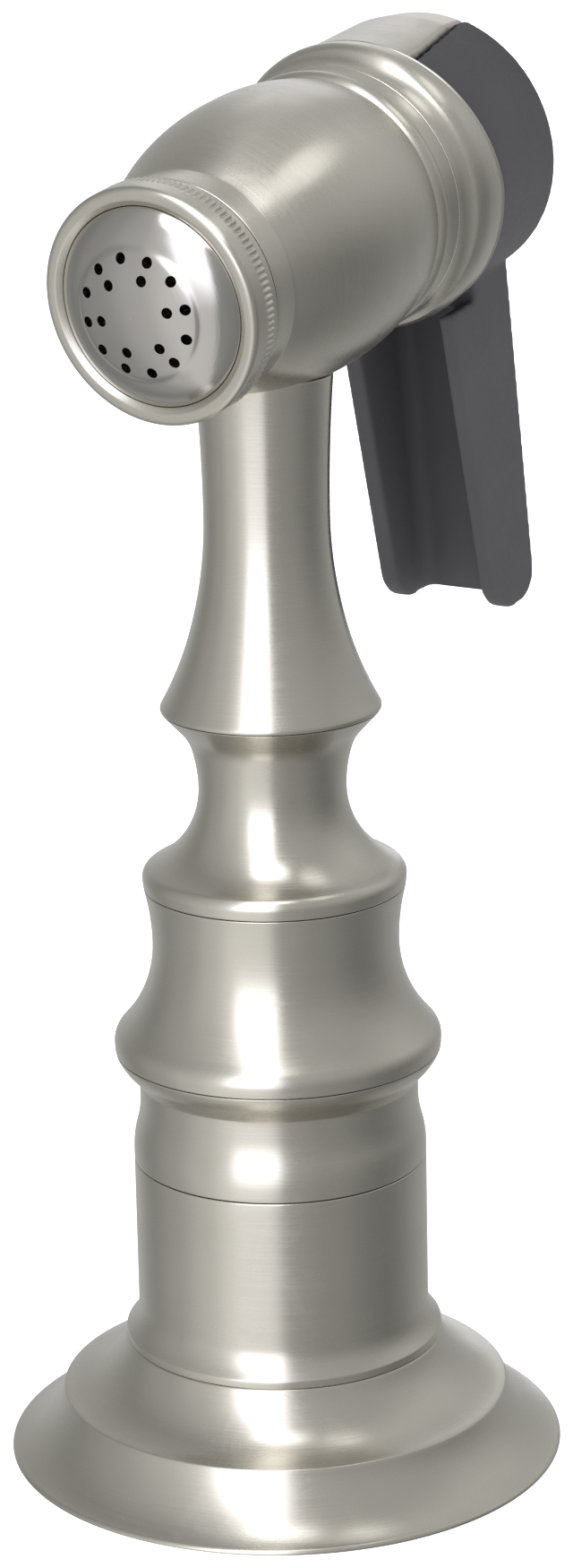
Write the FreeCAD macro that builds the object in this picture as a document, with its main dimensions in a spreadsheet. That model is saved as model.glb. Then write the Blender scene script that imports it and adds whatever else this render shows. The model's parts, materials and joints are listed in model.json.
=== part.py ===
# Kitchen hand spray with a squeeze lever, standing in its deck holder.
#
# The part's frame: origin in the middle of the holder's underside, +Z up the
# handle, spray face towards -Y and a little down, lever towards +Y.
# The head's own pieces are drawn about their Y axis and share one placement:
# their origin is where the head's axis crosses the handle's axis.
import FreeCAD, Part
import math
import os
import Sketcher

# ---------------------------------------------------------------- sizes
# Millimetres and degrees. "height" is above the underside of the holder,
# "station" is along the head's axis from the handle's axis, positive to the rear.
SIZES = {
    # deck holder
    "flange_radius": 30.0,
    "flange_rim_height": 0.15,
    "flange_lip_bend": 0.45,
    "skirt_width": 5.9,
    "skirt_rise": 6.25,
    "skirt_bend": 10.3,
    "flange_cove_rise": 5.9,
    "flange_cove_bend": 9.2,
    "flange_hub_radius": 14.0,
    "shank_bore_radius": 10.5,
    "recess_margin": 4.0,
    "recess_depth": 1.6,
    "gasket_lift": 0.3,
    "sleeve_wall": 2.7,
    "sleeve_length": 20.15,
    "sleeve_foot_flare": 1.4,
    "sleeve_foot_rise": 0.9,
    "sleeve_foot_bend": 4.2,
    "sleeve_shelf_width": 2.0,
    "sleeve_shelf_rise": 1.5,
    "sleeve_spigot_step": 0.1,
    "sleeve_spigot_depth": 3.95,
    "bush_wall": 3.6,
    "bush_lip": 0.3,
    # spray's foot, standing in the holder
    "seam_gap": 0.25,
    "cup_height": 12.0,
    "cup_edge_rise": 1.0,
    "cup_cove_share": 0.5,
    "cup_waist_radius": 14.9,
    "cup_waist_rise": 6.6,
    "cup_flare_rise": 8.6,
    "cup_chamfer_radius": 15.7,
    "cup_chamfer_rise": 9.6,
    "cup_chamfer_bend": 6.0,
    "cup_flange_depth": 2.8,
    "hose_thread_radius": 5.72,
    "hose_thread_length": 8.5,
    "washer_seat_radius": 6.3,
    "washer_thickness": 1.6,
    "spigot_radius": 9.0,
    "spigot_reach": 17.0,
    "spigot_flange_radius": 11.9,
    "spigot_neck_radius": 8.0,
    "spigot_neck_length": 9.0,
    "tube_socket_depth": 6.0,
    "tube_radius": 5.0,
    "tube_bore_radius": 3.6,
    # turned handle
    "bell_rim_radius": 17.4,
    "bell_cove_share": 0.25,
    "bell_waist_radius": 13.1,
    "bell_waist_rise": 11.85,
    "bell_top_radius": 13.9,
    "bell_flare_rise": 6.2,
    "waist_dome_share": 0.43,
    "neck_radius": 7.8,
    "neck_rise": 10.7,
    "waist_brim_share": 0.62,
    "ring_radius": 11.6,
    "ring_rise": 8.4,
    "ring_thickness": 0.4,
    "trumpet_knee_radius": 8.6,
    "trumpet_knee_rise": 7.3,
    "trumpet_knee_bend": 36.0,
    "trumpet_waist_radius": 6.45,
    "trumpet_waist_rise": 13.4,
    "trumpet_top_radius": 7.15,
    "trumpet_flare_rise": 9.0,
    "trumpet_top_rise": 5.6,
    # head
    "head_rise": 13.2,
    "head_tilt": 9.4,
    "nose_radius": 10.9,
    "nose_bore_radius": 9.6,
    "nose_length": 2.3,
    "barrel_front_station": -15.6,
    "barrel_front_radius": 11.4,
    "barrel_shoulder_station": -12.4,
    "barrel_radius": 15.0,
    "barrel_crown_station": 3.0,
    "barrel_back_station": 4.5,
    "barrel_lip_station": 13.8,
    "barrel_lip_radius": 14.5,
    "barrel_lip_bend": 1.6,
    "barrel_tail_radius": 13.2,
    "barrel_tail_station": 16.4,
    "barrel_bore_radius": 11.6,
    "barrel_step_station": -8.5,
    # valve
    "valve_length": 20.0,
    "valve_chamber_radius": 6.0,
    "outlet_chamber_radius": 5.0,
    "seat_station": 4.4,
    "seat_thickness": 2.0,
    "seat_bore_radius": 3.3,
    "inlet_stop_depth": 4.0,
    "outlet_recess_radius": 10.4,
    "outlet_recess_depth": 1.6,
    "bypass_radius": 1.3,
    "bypass_ring_radius": 8.8,
    "plug_thickness": 2.2,
    "pilot_length": 1.0,
    "tube_entry_depth": 2.4,
    "stem_radius": 2.0,
    "stem_end_station": 25.4,
    "poppet_radius": 4.7,
    "poppet_thickness": 1.8,
    "poppet_washer_thickness": 1.4,
    "poppet_tail_length": 2.6,
    "spring_wire_radius": 0.35,
    "spring_radius": 3.3,
    "spring_turns": 5.0,
    # bonnet, collar and hinge
    "bonnet_neck_radius": 5.9,
    "bonnet_neck_length": 5.4,
    "stem_seal_station": 14.2,
    "stem_seal_radius": 0.9,
    "web_thickness": 2.4,
    "collar_bead_radius": 14.9,
    "collar_bead_width": 1.3,
    "collar_groove_radius": 14.6,
    "collar_groove_width": 0.6,
    "collar_radius": 15.5,
    "collar_end_station": 24.0,
    "skirt_bore_radius": 14.95,
    "nut_radius": 8.2,
    "nut_thickness": 2.4,
    "lug_width": 7.4,
    "lug_floor": 8.6,
    "lug_crown_radius": 14.4,
    "lug_root": 1.0,
    "pivot_station": 28.0,
    "pivot_rise": 11.3,
    "pin_radius": 1.1,
    "pin_length": 13.4,
    "pin_end_gap": 0.2,
    # lever
    "lever_cup_radius": 14.65,
    "lever_cup_wall": 1.3,
    "lever_front_overlap": 3.0,
    "lever_front_low": 23.5,
    "lever_front_high": 25.6,
    "lever_back_station": 37.0,
    "lever_back_wall": 2.2,
    "lever_back_crown": 0.8,
    "lever_edge_bend": 1.3,
    "lever_slot_gap": 0.35,
    "ear_thickness": 2.6,
    "ear_floor": 9.2,
    "ear_ceiling": 13.2,
    "ear_front_station": 25.8,
    "ear_back_setback": 1.0,
    "boss_radius": 3.0,
    "boss_root": 0.5,
    "boss_gap": 0.3,
    "tongue_width": 14.3,
    "tongue_flange_wall": 2.1,
    "tongue_web_wall": 2.1,
    "tongue_drop": 51.3,
    "tongue_web_drop": 50.4,
    "tongue_tip_front": 28.1,
    "tongue_tip_back": 37.0,
    "tongue_shoulder_front": 25.2,
    "tongue_shoulder_drop": 20.5,
    "tongue_relief_station": 29.4,
    "tongue_relief_depth": 0.6,
    "tongue_root": 5.0,
    "tongue_back_setback": 2.0,
    "tongue_heel_bend": 2.4,
    "tongue_toe_bend": 4.2,
    "channel_top_gap": 0.6,
    # spray face
    "cap_radius": 12.2,
    "cap_front_station": -21.2,
    "cap_back_gap": 0.3,
    "cap_neck_radius": 11.5,
    "cap_lip_radius": 10.3,
    "cap_lip_thickness": 1.3,
    "knurl_front_station": -18.9,
    "knurl_width": 1.4,
    "knurl_depth": 0.28,
    "knurl_overcut": 0.06,
    "knurl_half_width": 0.34,
    "knurl_count": 60.0,
    "plate_flange_thickness": 1.2,
    "plate_wall": 1.2,
    "plate_dome_setback": 0.3,
    "plate_disc_radius": 6.2,
    "plate_disc_crown": 0.35,
    "plate_step_width": 0.65,
    "plate_step_depth": 0.25,
    "plate_step_bend": 1.42,
    "plate_groove_width": 0.65,
    "plate_groove_depth": 0.28,
    "plate_groove_bend": 1.78,
    "plate_shoulder_depth": 2.42,
    "plate_shoulder_bend": 3.74,
    "outer_hole_ring": 5.85,
    "outer_hole_count": 12.0,
    "inner_hole_ring": 3.95,
    "inner_hole_count": 6.0,
    "hole_radius": 0.56,
    "hole_turn": 20.0,
    # how far the cutting tools run past the material
    "overrun": 4.0,
    "through_length": 120.0,
    # fits
    "fit": 0.05,
    "running_fit": 0.08,
    "free_gap": 0.35,
}

doc = FreeCAD.newDocument("hand_spray")
sheet = doc.addObject("Spreadsheet::Sheet", "Sizes")
for row, (alias, number) in enumerate(SIZES.items(), start=1):
    sheet.set(f"A{row}", alias)
    sheet.set(f"B{row}", str(number))
    sheet.setAlias(f"B{row}", alias)
doc.recompute()


class Size:
    """A number together with the sheet expression that gives it."""

    def __init__(self, value, text):
        self.value = float(value)
        self.text = text

    @staticmethod
    def of(other):
        if isinstance(other, Size):
            return other
        return Size(other, repr(float(other)))

    def _join(self, other, sign, value):
        return Size(value, f"({self.text} {sign} {other.text})")

    def __add__(self, other):
        other = Size.of(other)
        return self._join(other, "+", self.value + other.value)

    def __sub__(self, other):
        other = Size.of(other)
        return self._join(other, "-", self.value - other.value)

    def __mul__(self, other):
        other = Size.of(other)
        return self._join(other, "*", self.value * other.value)

    def __truediv__(self, other):
        other = Size.of(other)
        return self._join(other, "/", self.value / other.value)

    def __neg__(self):
        return Size(-self.value, f"(-1 * {self.text})")

    def __radd__(self, other):
        return Size.of(other) + self

    def __rsub__(self, other):
        return Size.of(other) - self

    def __rmul__(self, other):
        return Size.of(other) * self

    def root(self):
        return Size(self.value ** 0.5, f"sqrt({self.text})")

    def unsigned(self):
        return Size(abs(self.value), f"abs({self.text})")


def size(alias):
    """The named cell of the sheet."""
    return Size(sheet.get(alias), f"Sizes.{alias}")


HEAD = "head"
UPRIGHT = "upright"


# ---------------------------------------------------------------- drawing
def line_to(x, y):
    """A straight edge that ends at x, y."""
    return (Size.of(x), Size.of(y), None, 0)


def bend_to(x, y, radius, turn):
    """An arc of that radius that ends at x, y: turn is 1 to the left, -1 to the right."""
    return (Size.of(x), Size.of(y), Size.of(radius), turn)


def ogee(start, end, share):
    """Two tangent arcs from start to end, upright at both ends.

    share is the part of the way that the first arc covers.
    """
    step = end[0] - start[0]
    rise = end[1] - start[1]
    whole = (step * step + rise * rise) / (2 * step.unsigned())
    turn = -1 if step.value * rise.value > 0 else 1
    return [
        bend_to(start[0] + share * step, start[1] + share * rise, share * whole, turn),
        bend_to(end[0], end[1], (1 - share) * whole, -turn),
    ]


def level_bend(run, rise):
    """Radius of the arc that starts along run and has climbed rise at its end."""
    return (run * run + rise * rise) / (2 * rise)


def arc_through(start, end, radius, turn):
    """The circular arc between two points, and which of its ends is the start."""
    half = FreeCAD.Vector((end - start) * 0.5)
    reach = max(radius * radius - half.Length * half.Length, 0.0) ** 0.5
    left = FreeCAD.Vector(-half.y, half.x, 0).normalize()
    centre = start + half + left * (reach * turn)
    circle = Part.Circle(centre, FreeCAD.Vector(0, 0, 1), radius)
    first, last = (start, end) if turn > 0 else (end, start)
    arc = Part.ArcOfCircle(circle, circle.parameter(first), circle.parameter(last))
    return arc, (1, 2) if turn > 0 else (2, 1)


def plane_of(body, role):
    """One of the body's own origin planes or axes."""
    for feature in body.Origin.OriginFeatures:
        if feature.Role == role:
            return feature
    raise ValueError(role)


def bind(sketch, kind, elements, amount):
    """A dimension of the sketch, bound to the sheet."""
    index = sketch.addConstraint(Sketcher.Constraint(kind, *elements, amount.value))
    sketch.setExpression(f"Constraints[{index}]", amount.text)


def new_sketch(body, name, role):
    sketch = body.newObject("Sketcher::SketchObject", name)
    sketch.AttachmentSupport = [(plane_of(body, role), "")]
    sketch.MapMode = "FlatFace"
    return sketch


def draw(body, name, role, path):
    """A closed outline: every corner is held from the origin by the sheet."""
    sketch = new_sketch(body, name, role)
    points = [FreeCAD.Vector(step[0].value, step[1].value, 0) for step in path]
    ends = []
    for number, step in enumerate(path):
        start = points[number - 1]
        end = points[number]
        if step[2] is None:
            sketch.addGeometry(Part.LineSegment(start, end), False)
            ends.append((1, 2))
        else:
            arc, order = arc_through(start, end, step[2].value, step[3])
            sketch.addGeometry(arc, False)
            ends.append(order)
    for number, step in enumerate(path):
        follower = (number + 1) % len(path)
        sketch.addConstraint(Sketcher.Constraint(
            "Coincident", number, ends[number][1], follower, ends[follower][0]))
        bind(sketch, "DistanceX", (-1, 1, number, ends[number][1]), step[0])
        bind(sketch, "DistanceY", (-1, 1, number, ends[number][1]), step[1])
        if step[2] is not None:
            bind(sketch, "Radius", (number,), step[2])
    return sketch


def draw_circles(body, name, role, circles):
    """Full circles, each given as (x, y, radius)."""
    sketch = new_sketch(body, name, role)
    for number, (x, y, radius) in enumerate(circles):
        centre = FreeCAD.Vector(Size.of(x).value, Size.of(y).value, 0)
        sketch.addGeometry(Part.Circle(centre, FreeCAD.Vector(0, 0, 1), radius.value), False)
        bind(sketch, "DistanceX", (-1, 1, number, 3), Size.of(x))
        bind(sketch, "DistanceY", (-1, 1, number, 3), Size.of(y))
        bind(sketch, "Radius", (number,), radius)
    return sketch


# ---------------------------------------------------------------- features
PARTS = []
BYPASS_ANGLES = (-30, 30, 90, 150, 210)


def new_body(label, place):
    """A body that stands upright on the holder's axis, or lies along the head's axis."""
    body = doc.addObject("PartDesign::Body", label + "_body")
    body.Label = label
    if place == HEAD:
        body.Placement = FreeCAD.Placement(
            FreeCAD.Vector(0, 0, 1),
            FreeCAD.Rotation(FreeCAD.Vector(1, 0, 0), 1))
        body.setExpression("Placement.Base.z", head_height.text)
        body.setExpression("Placement.Rotation.Angle", "Sizes.head_tilt")
    return body


def keep(thing, label):
    """Marks an object as a finished sub-part."""
    thing.Label = label
    PARTS.append(thing)
    return thing


def revolve(body, name, path, place, cut=False):
    """Turns an outline about the piece's own axis, adding or cutting."""
    role = "YZ_Plane" if place == HEAD else "XZ_Plane"
    sketch = draw(body, name + "_outline", role, path)
    kind = "PartDesign::Groove" if cut else "PartDesign::Revolution"
    feature = body.newObject(kind, name)
    feature.Profile = sketch
    feature.ReferenceAxis = (sketch, ["H_Axis" if place == HEAD else "V_Axis"])
    feature.Angle = 360
    return feature


def turned(label, path, place=UPRIGHT):
    """A sub-part that is one turned solid."""
    body = new_body(label, place)
    revolve(body, label + "_turning", path, place)
    return keep(body, label)


def ring(inner, outer, low, high):
    """The outline of a plain ring, (radius, height) order."""
    return [line_to(inner, low), line_to(outer, low), line_to(outer, high), line_to(inner, high)]


def head_ring(inner, outer, front, back):
    """The outline of a plain ring about the head's axis, (station, radius) order."""
    return [line_to(front, inner), line_to(front, outer), line_to(back, outer), line_to(back, inner)]


def across(body, name, sketch, width, cut=False):
    """A pad or pocket that runs to both sides of its sketch, width in all."""
    feature = body.newObject("PartDesign::Pocket" if cut else "PartDesign::Pad", name)
    feature.Profile = sketch
    feature.SideType = "Symmetric"
    feature.Length = width.value
    feature.setExpression("Length", width.text)
    return feature


def around(body, name, feature, count):
    """Copies of a feature spread evenly about the head's axis."""
    pattern = body.newObject("PartDesign::PolarPattern", name)
    pattern.Originals = [feature]
    pattern.Axis = (plane_of(body, "Y_Axis"), [""])
    pattern.Angle = 360
    pattern.setExpression("Occurrences", count.text)
    pattern.Occurrences = int(count.value)
    body.Tip = pattern
    return pattern


def upright_rod(name, radius, low, high):
    """A plain cylinder on the handle's axis, used as a tool."""
    rod = doc.addObject("Part::Cylinder", name)
    rod.setExpression("Radius", radius.text)
    rod.setExpression("Height", (high - low).text)
    rod.setExpression("Placement.Base.z", low.text)
    return rod


def lie_along_head(thing, station):
    """Turns a piece drawn up the Z axis to lie along the head, at that station."""
    thing.Placement = FreeCAD.Placement(
        FreeCAD.Vector(0, 0, 1), FreeCAD.Rotation(FreeCAD.Vector(-1, 0, 0), 80))
    thing.setExpression("Placement.Rotation.Angle", "90 - Sizes.head_tilt")
    thing.setExpression("Placement.Base.y", f"{station.text} * cos(Sizes.head_tilt)")
    thing.setExpression("Placement.Base.z",
                        f"{head_height.text} + {station.text} * sin(Sizes.head_tilt)")


def cut_from(label, base, tool):
    """The base less the tool, kept as a sub-part."""
    cut = doc.addObject("Part::Cut", label + "_cut")
    cut.Base = base
    cut.Tool = tool
    return keep(cut, label)


# ---------------------------------------------------------------- shared heights and fits
fit = size("fit")
overrun = size("overrun")
through = size("through_length")
edge_height = size("flange_rim_height") + size("flange_lip_bend") + size("skirt_rise")
flange_height = edge_height + size("flange_cove_rise")
seam = flange_height + size("sleeve_length")
recess_radius = size("flange_radius") - size("recess_margin")
bush_inner = size("spigot_radius") + size("free_gap")
bush_outer = bush_inner + size("bush_wall")
sleeve_bore = bush_outer + size("running_fit")
sleeve_radius = sleeve_bore + size("sleeve_wall")
foot_radius = sleeve_radius + size("sleeve_foot_flare")
sleeve_spigot = sleeve_bore + size("sleeve_spigot_step")
bush_shelf = flange_height + size("sleeve_shelf_rise")
cup_low = seam + size("seam_gap")
cup_high = cup_low + size("cup_height")
spigot_low = cup_low - size("spigot_reach")
washer_low = spigot_low + size("hose_thread_length")
bell_waist = cup_high + size("bell_waist_rise")
bell_top = bell_waist + size("bell_flare_rise")
waist_neck = bell_top + size("neck_rise")
ring_low = waist_neck + size("ring_rise")
trumpet_knee = ring_low + size("trumpet_knee_rise")
trumpet_waist = trumpet_knee + size("trumpet_waist_rise")
trumpet_flare = trumpet_waist + size("trumpet_flare_rise")
trumpet_top = trumpet_flare + size("trumpet_top_rise")
head_height = trumpet_top + size("head_rise")
neck_low = cup_high - fit
neck_high = neck_low + size("spigot_neck_length")
tube_low = neck_high - size("tube_socket_depth")
tube_hole = size("tube_radius") + fit
tube_top = head_height - size("barrel_bore_radius") + size("tube_entry_depth")
valve_front = size("barrel_step_station") + fit
valve_back = valve_front + size("valve_length")
plug_back = valve_front + size("plug_thickness")
poppet_back = size("seat_station") - size("boss_gap") - size("poppet_washer_thickness")
poppet_front = poppet_back - size("poppet_thickness")
bonnet_front = valve_back + fit
web_front = size("barrel_tail_station") + fit
web_back = web_front + size("web_thickness")
neck_end = web_front + size("bonnet_neck_length")
rod_low = trumpet_waist


# ---------------------------------------------------------------- deck holder
def deck_flange():
    """The weighted foot: a flared skirt and a cove that meet at an edge, and a threaded hub."""
    rim = size("flange_rim_height")
    lip = size("flange_lip_bend")
    edge_radius = size("flange_radius") - size("skirt_width")
    bore = size("shank_bore_radius")
    shelf = flange_height - size("sleeve_spigot_depth")
    socket = sleeve_spigot + fit
    return turned("deck_flange", [
        line_to(bore, 0),
        line_to(size("flange_hub_radius"), 0),
        line_to(size("flange_hub_radius"), size("recess_depth")),
        line_to(recess_radius, size("recess_depth")),
        line_to(recess_radius, 0),
        line_to(size("flange_radius"), 0),
        line_to(size("flange_radius"), rim),
        bend_to(size("flange_radius") - lip, rim + lip, lip, 1),
        bend_to(edge_radius, edge_height, size("skirt_bend"), -1),
        bend_to(foot_radius, flange_height, size("flange_cove_bend"), -1),
        line_to(socket, flange_height),
        line_to(socket, shelf),
        line_to(bore, shelf),
    ])


def flange_gasket():
    """Flat rubber ring in the recess under the foot."""
    return turned("flange_gasket", ring(
        size("flange_hub_radius") + fit, recess_radius - fit,
        size("gasket_lift"), size("recess_depth")))


def holder_sleeve():
    """The tube that takes the spray, with a coved foot and a threaded spigot."""
    low = flange_height - size("sleeve_spigot_depth")
    foot = flange_height + size("sleeve_foot_rise")
    flare = size("sleeve_foot_flare")
    bend = size("sleeve_foot_bend")
    rise = (2 * bend * flare - flare * flare).root()
    throat = sleeve_bore - size("sleeve_shelf_width")
    return turned("holder_sleeve", [
        line_to(throat, low),
        line_to(sleeve_spigot, low),
        line_to(sleeve_spigot, flange_height),
        line_to(foot_radius, flange_height),
        line_to(foot_radius, foot),
        bend_to(sleeve_radius, foot + rise, bend, -1),
        line_to(sleeve_radius, seam),
        line_to(sleeve_bore, seam),
        line_to(sleeve_bore, bush_shelf),
        line_to(throat, bush_shelf),
    ])


def guide_bush():
    """Plastic liner that turns with the spray inside the sleeve."""
    return turned("guide_bush", ring(
        bush_inner, bush_outer, bush_shelf + size("bush_lip"), seam - size("bush_lip")))


# ---------------------------------------------------------------- spray's foot
def lower_cup():
    """The waisted cup that lands on the sleeve."""
    flange_floor = cup_high - size("cup_flange_depth")
    start = (sleeve_radius, cup_low + size("cup_edge_rise"))
    waist = (size("cup_waist_radius"), cup_low + size("cup_waist_rise"))
    corner = (size("cup_chamfer_radius"), cup_low + size("cup_chamfer_rise"))
    return turned("lower_cup", [
        line_to(size("spigot_radius") + fit, cup_low),
        line_to(sleeve_radius, cup_low),
        line_to(start[0], start[1]),
        *ogee(start, waist, size("cup_cove_share")),
        line_to(waist[0], cup_low + size("cup_flare_rise")),
        line_to(corner[0], corner[1]),
        bend_to(size("bell_rim_radius"), cup_high, size("cup_chamfer_bend"), 1),
        line_to(size("spigot_flange_radius") + fit, cup_high),
        line_to(size("spigot_flange_radius") + fit, flange_floor),
        line_to(size("spigot_radius") + fit, flange_floor),
    ])


def hose_spigot():
    """Brass core: hose thread below, flange that holds the cup, neck that holds the bell."""
    flange_floor = cup_high - size("cup_flange_depth")
    thread_top = washer_low + size("washer_thickness")
    return turned("hose_spigot", [
        line_to(size("hose_thread_radius"), spigot_low),
        line_to(size("spigot_radius"), spigot_low),
        line_to(size("spigot_radius"), flange_floor),
        line_to(size("spigot_flange_radius"), flange_floor),
        line_to(size("spigot_flange_radius"), neck_low),
        line_to(size("spigot_neck_radius"), neck_low),
        line_to(size("spigot_neck_radius"), neck_high),
        line_to(tube_hole, neck_high),
        line_to(tube_hole, tube_low),
        line_to(size("tube_bore_radius"), tube_low),
        line_to(size("tube_bore_radius"), thread_top),
        line_to(size("washer_seat_radius"), thread_top),
        line_to(size("washer_seat_radius"), washer_low),
        line_to(size("hose_thread_radius"), washer_low),
    ])


def hose_washer():
    """Rubber washer at the end of the hose thread."""
    return turned("hose_washer", ring(
        size("tube_bore_radius"), size("washer_seat_radius") - fit,
        washer_low + fit, washer_low + size("washer_thickness") - fit))


def inner_tube():
    """Water tube from the spigot to the valve, through the turned handle pieces."""
    return turned("inner_tube", ring(
        size("tube_bore_radius"), size("tube_radius"), tube_low + fit, tube_top))


# ---------------------------------------------------------------- turned handle
def handle_bell():
    """Lowest handle piece: chamfered bead, cove and flare."""
    low = cup_high + fit
    rim = (size("bell_rim_radius"), low)
    waist = (size("bell_waist_radius"), bell_waist)
    flare = size("bell_top_radius") - waist[0]
    climb = bell_top - waist[1]
    flare_bend = level_bend(climb, flare)
    neck_hole = size("spigot_neck_radius") + fit
    return turned("handle_bell", [
        line_to(neck_hole, low),
        line_to(rim[0], rim[1]),
        *ogee(rim, waist, size("bell_cove_share")),
        bend_to(size("bell_top_radius"), bell_top, flare_bend, -1),
        line_to(tube_hole, bell_top),
        line_to(tube_hole, neck_high + fit),
        line_to(neck_hole, neck_high + fit),
    ])


def handle_waist():
    """Middle handle piece: dome, narrow neck and the underside of the ring."""
    low = bell_top + fit
    shoulder = (size("bell_top_radius"), low)
    neck = (size("neck_radius"), waist_neck)
    brim = (size("ring_radius"), ring_low)
    return turned("handle_waist", [
        line_to(tube_hole, low),
        line_to(shoulder[0], shoulder[1]),
        *ogee(shoulder, neck, size("waist_dome_share")),
        *ogee(neck, brim, size("waist_brim_share")),
        line_to(tube_hole, brim[1]),
    ])


def handle_trumpet():
    """Upper handle piece: thin ring, long trumpet and the seat in the barrel."""
    low = ring_low + fit
    brim = low + size("ring_thickness")
    knee = (size("trumpet_knee_radius"), trumpet_knee)
    waist = (size("trumpet_waist_radius"), trumpet_waist)
    narrow = knee[0] - waist[0]
    climb = waist[1] - knee[1]
    stem_bend = level_bend(climb, narrow)
    flare = size("trumpet_top_radius") - waist[0]
    rise = trumpet_flare - waist[1]
    flare_bend = level_bend(rise, flare)
    return turned("handle_trumpet", [
        line_to(tube_hole, low),
        line_to(size("ring_radius"), low),
        line_to(size("ring_radius"), brim),
        bend_to(knee[0], knee[1], size("trumpet_knee_bend"), -1),
        bend_to(waist[0], waist[1], stem_bend, -1),
        bend_to(size("trumpet_top_radius"), trumpet_flare, flare_bend, -1),
        line_to(size("trumpet_top_radius"), trumpet_top),
        line_to(tube_hole, trumpet_top),
    ])


# ---------------------------------------------------------------- head
def barrel():
    """Barrel shell with a threaded nose, open through, and a hole for the handle."""
    nose_front = size("barrel_front_station") - size("nose_length")
    neck = size("barrel_front_radius")
    shoulder = size("barrel_shoulder_station")
    crown = (size("barrel_crown_station"), size("barrel_radius"))
    back = (size("barrel_back_station"), size("barrel_radius"))
    lip = (size("barrel_lip_station"), size("barrel_lip_radius"))
    tail = size("barrel_tail_station")
    crown_bend = level_bend(crown[0] - shoulder, crown[1] - neck)
    back_bend = level_bend(lip[0] - back[0], back[1] - lip[1])
    lip_bend = size("barrel_lip_bend")
    body = new_body("barrel_turning", HEAD)
    revolve(body, "barrel_shell", [
        line_to(nose_front, size("nose_bore_radius")),
        line_to(nose_front, size("nose_radius")),
        line_to(size("barrel_front_station"), size("nose_radius")),
        line_to(size("barrel_front_station"), neck),
        line_to(shoulder, neck),
        bend_to(crown[0], crown[1], crown_bend, -1),
        line_to(back[0], back[1]),
        bend_to(lip[0], lip[1], back_bend, -1),
        bend_to(lip[0] + lip_bend, size("barrel_tail_radius"), lip_bend, -1),
        line_to(tail, size("barrel_tail_radius")),
        line_to(tail, size("barrel_bore_radius")),
        line_to(size("barrel_step_station"), size("barrel_bore_radius")),
        line_to(size("barrel_step_station"), size("nose_bore_radius")),
    ], HEAD)
    hole = upright_rod("barrel_hole", size("trumpet_top_radius") + fit,
                       rod_low, head_height)
    return cut_from("barrel", body, hole)


def valve_body():
    """Brass cartridge: inlet chamber in front, outlet chamber behind, bypass drillings."""
    front = valve_front
    back = valve_back
    seat_back = size("seat_station") + size("seat_thickness")
    outer = size("barrel_bore_radius") - fit
    body = new_body("valve_turning", HEAD)
    revolve(body, "valve_shell", [
        line_to(front, size("valve_chamber_radius")),
        line_to(front, outer),
        line_to(back, outer),
        line_to(back, size("outlet_recess_radius")),
        line_to(back - size("outlet_recess_depth"), size("outlet_recess_radius")),
        line_to(back - size("outlet_recess_depth"), size("outlet_chamber_radius")),
        line_to(seat_back, size("outlet_chamber_radius")),
        line_to(seat_back, size("valve_chamber_radius")),
    ], HEAD)
    ring_radius = size("bypass_ring_radius")
    bypasses = [
        (ring_radius * math.cos(math.radians(angle)), ring_radius * math.sin(math.radians(angle)),
         size("bypass_radius")) for angle in BYPASS_ANGLES]
    drilled = draw_circles(body, "bypass_circles", "XZ_Plane", bypasses)
    across(body, "bypasses", drilled, through, cut=True)
    socket = upright_rod("tube_socket", tube_hole, rod_low, tube_top + fit)
    inlet = upright_rod("valve_inlet", size("tube_bore_radius"),
                        rod_low, head_height - size("inlet_stop_depth"))
    drilling = doc.addObject("Part::Fuse", "tube_socket_and_inlet")
    drilling.Base = socket
    drilling.Tool = inlet
    return cut_from("valve_body", body, drilling)


def valve_seat():
    """Ring that the poppet's washer closes against."""
    front = size("seat_station")
    return turned("valve_seat", head_ring(
        size("seat_bore_radius"), size("valve_chamber_radius") - fit,
        front, front + size("seat_thickness") - fit), HEAD)


def spring_plug():
    """Screw plug at the front of the inlet chamber, with a pilot for the spring."""
    pilot = size("spring_radius") - size("spring_wire_radius") - size("free_gap")
    return turned("spring_plug", [
        line_to(valve_front, 0),
        line_to(valve_front, size("valve_chamber_radius") - fit),
        line_to(plug_back, size("valve_chamber_radius") - fit),
        line_to(plug_back, pilot),
        line_to(plug_back + size("pilot_length"), pilot),
        line_to(plug_back + size("pilot_length"), 0),
    ], HEAD)


def valve_stem():
    """Push rod with its poppet disc and the tail that centres the spring."""
    tail = poppet_front - size("poppet_tail_length")
    nose = size("stem_radius") / 2
    return turned("valve_stem", [
        line_to(tail, 0),
        line_to(tail, size("stem_radius")),
        line_to(poppet_front, size("stem_radius")),
        line_to(poppet_front, size("poppet_radius")),
        line_to(poppet_back, size("poppet_radius")),
        line_to(poppet_back, size("stem_radius")),
        line_to(size("stem_end_station") - nose, size("stem_radius")),
        bend_to(size("stem_end_station"), 0, level_bend(size("stem_radius"), nose), -1),
    ], HEAD)


def poppet_washer():
    """Rubber washer on the rear face of the poppet."""
    return turned("poppet_washer", head_ring(
        size("stem_radius") + fit, size("poppet_radius") - size("free_gap"),
        poppet_back + fit, poppet_back + size("poppet_washer_thickness")), HEAD)


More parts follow.
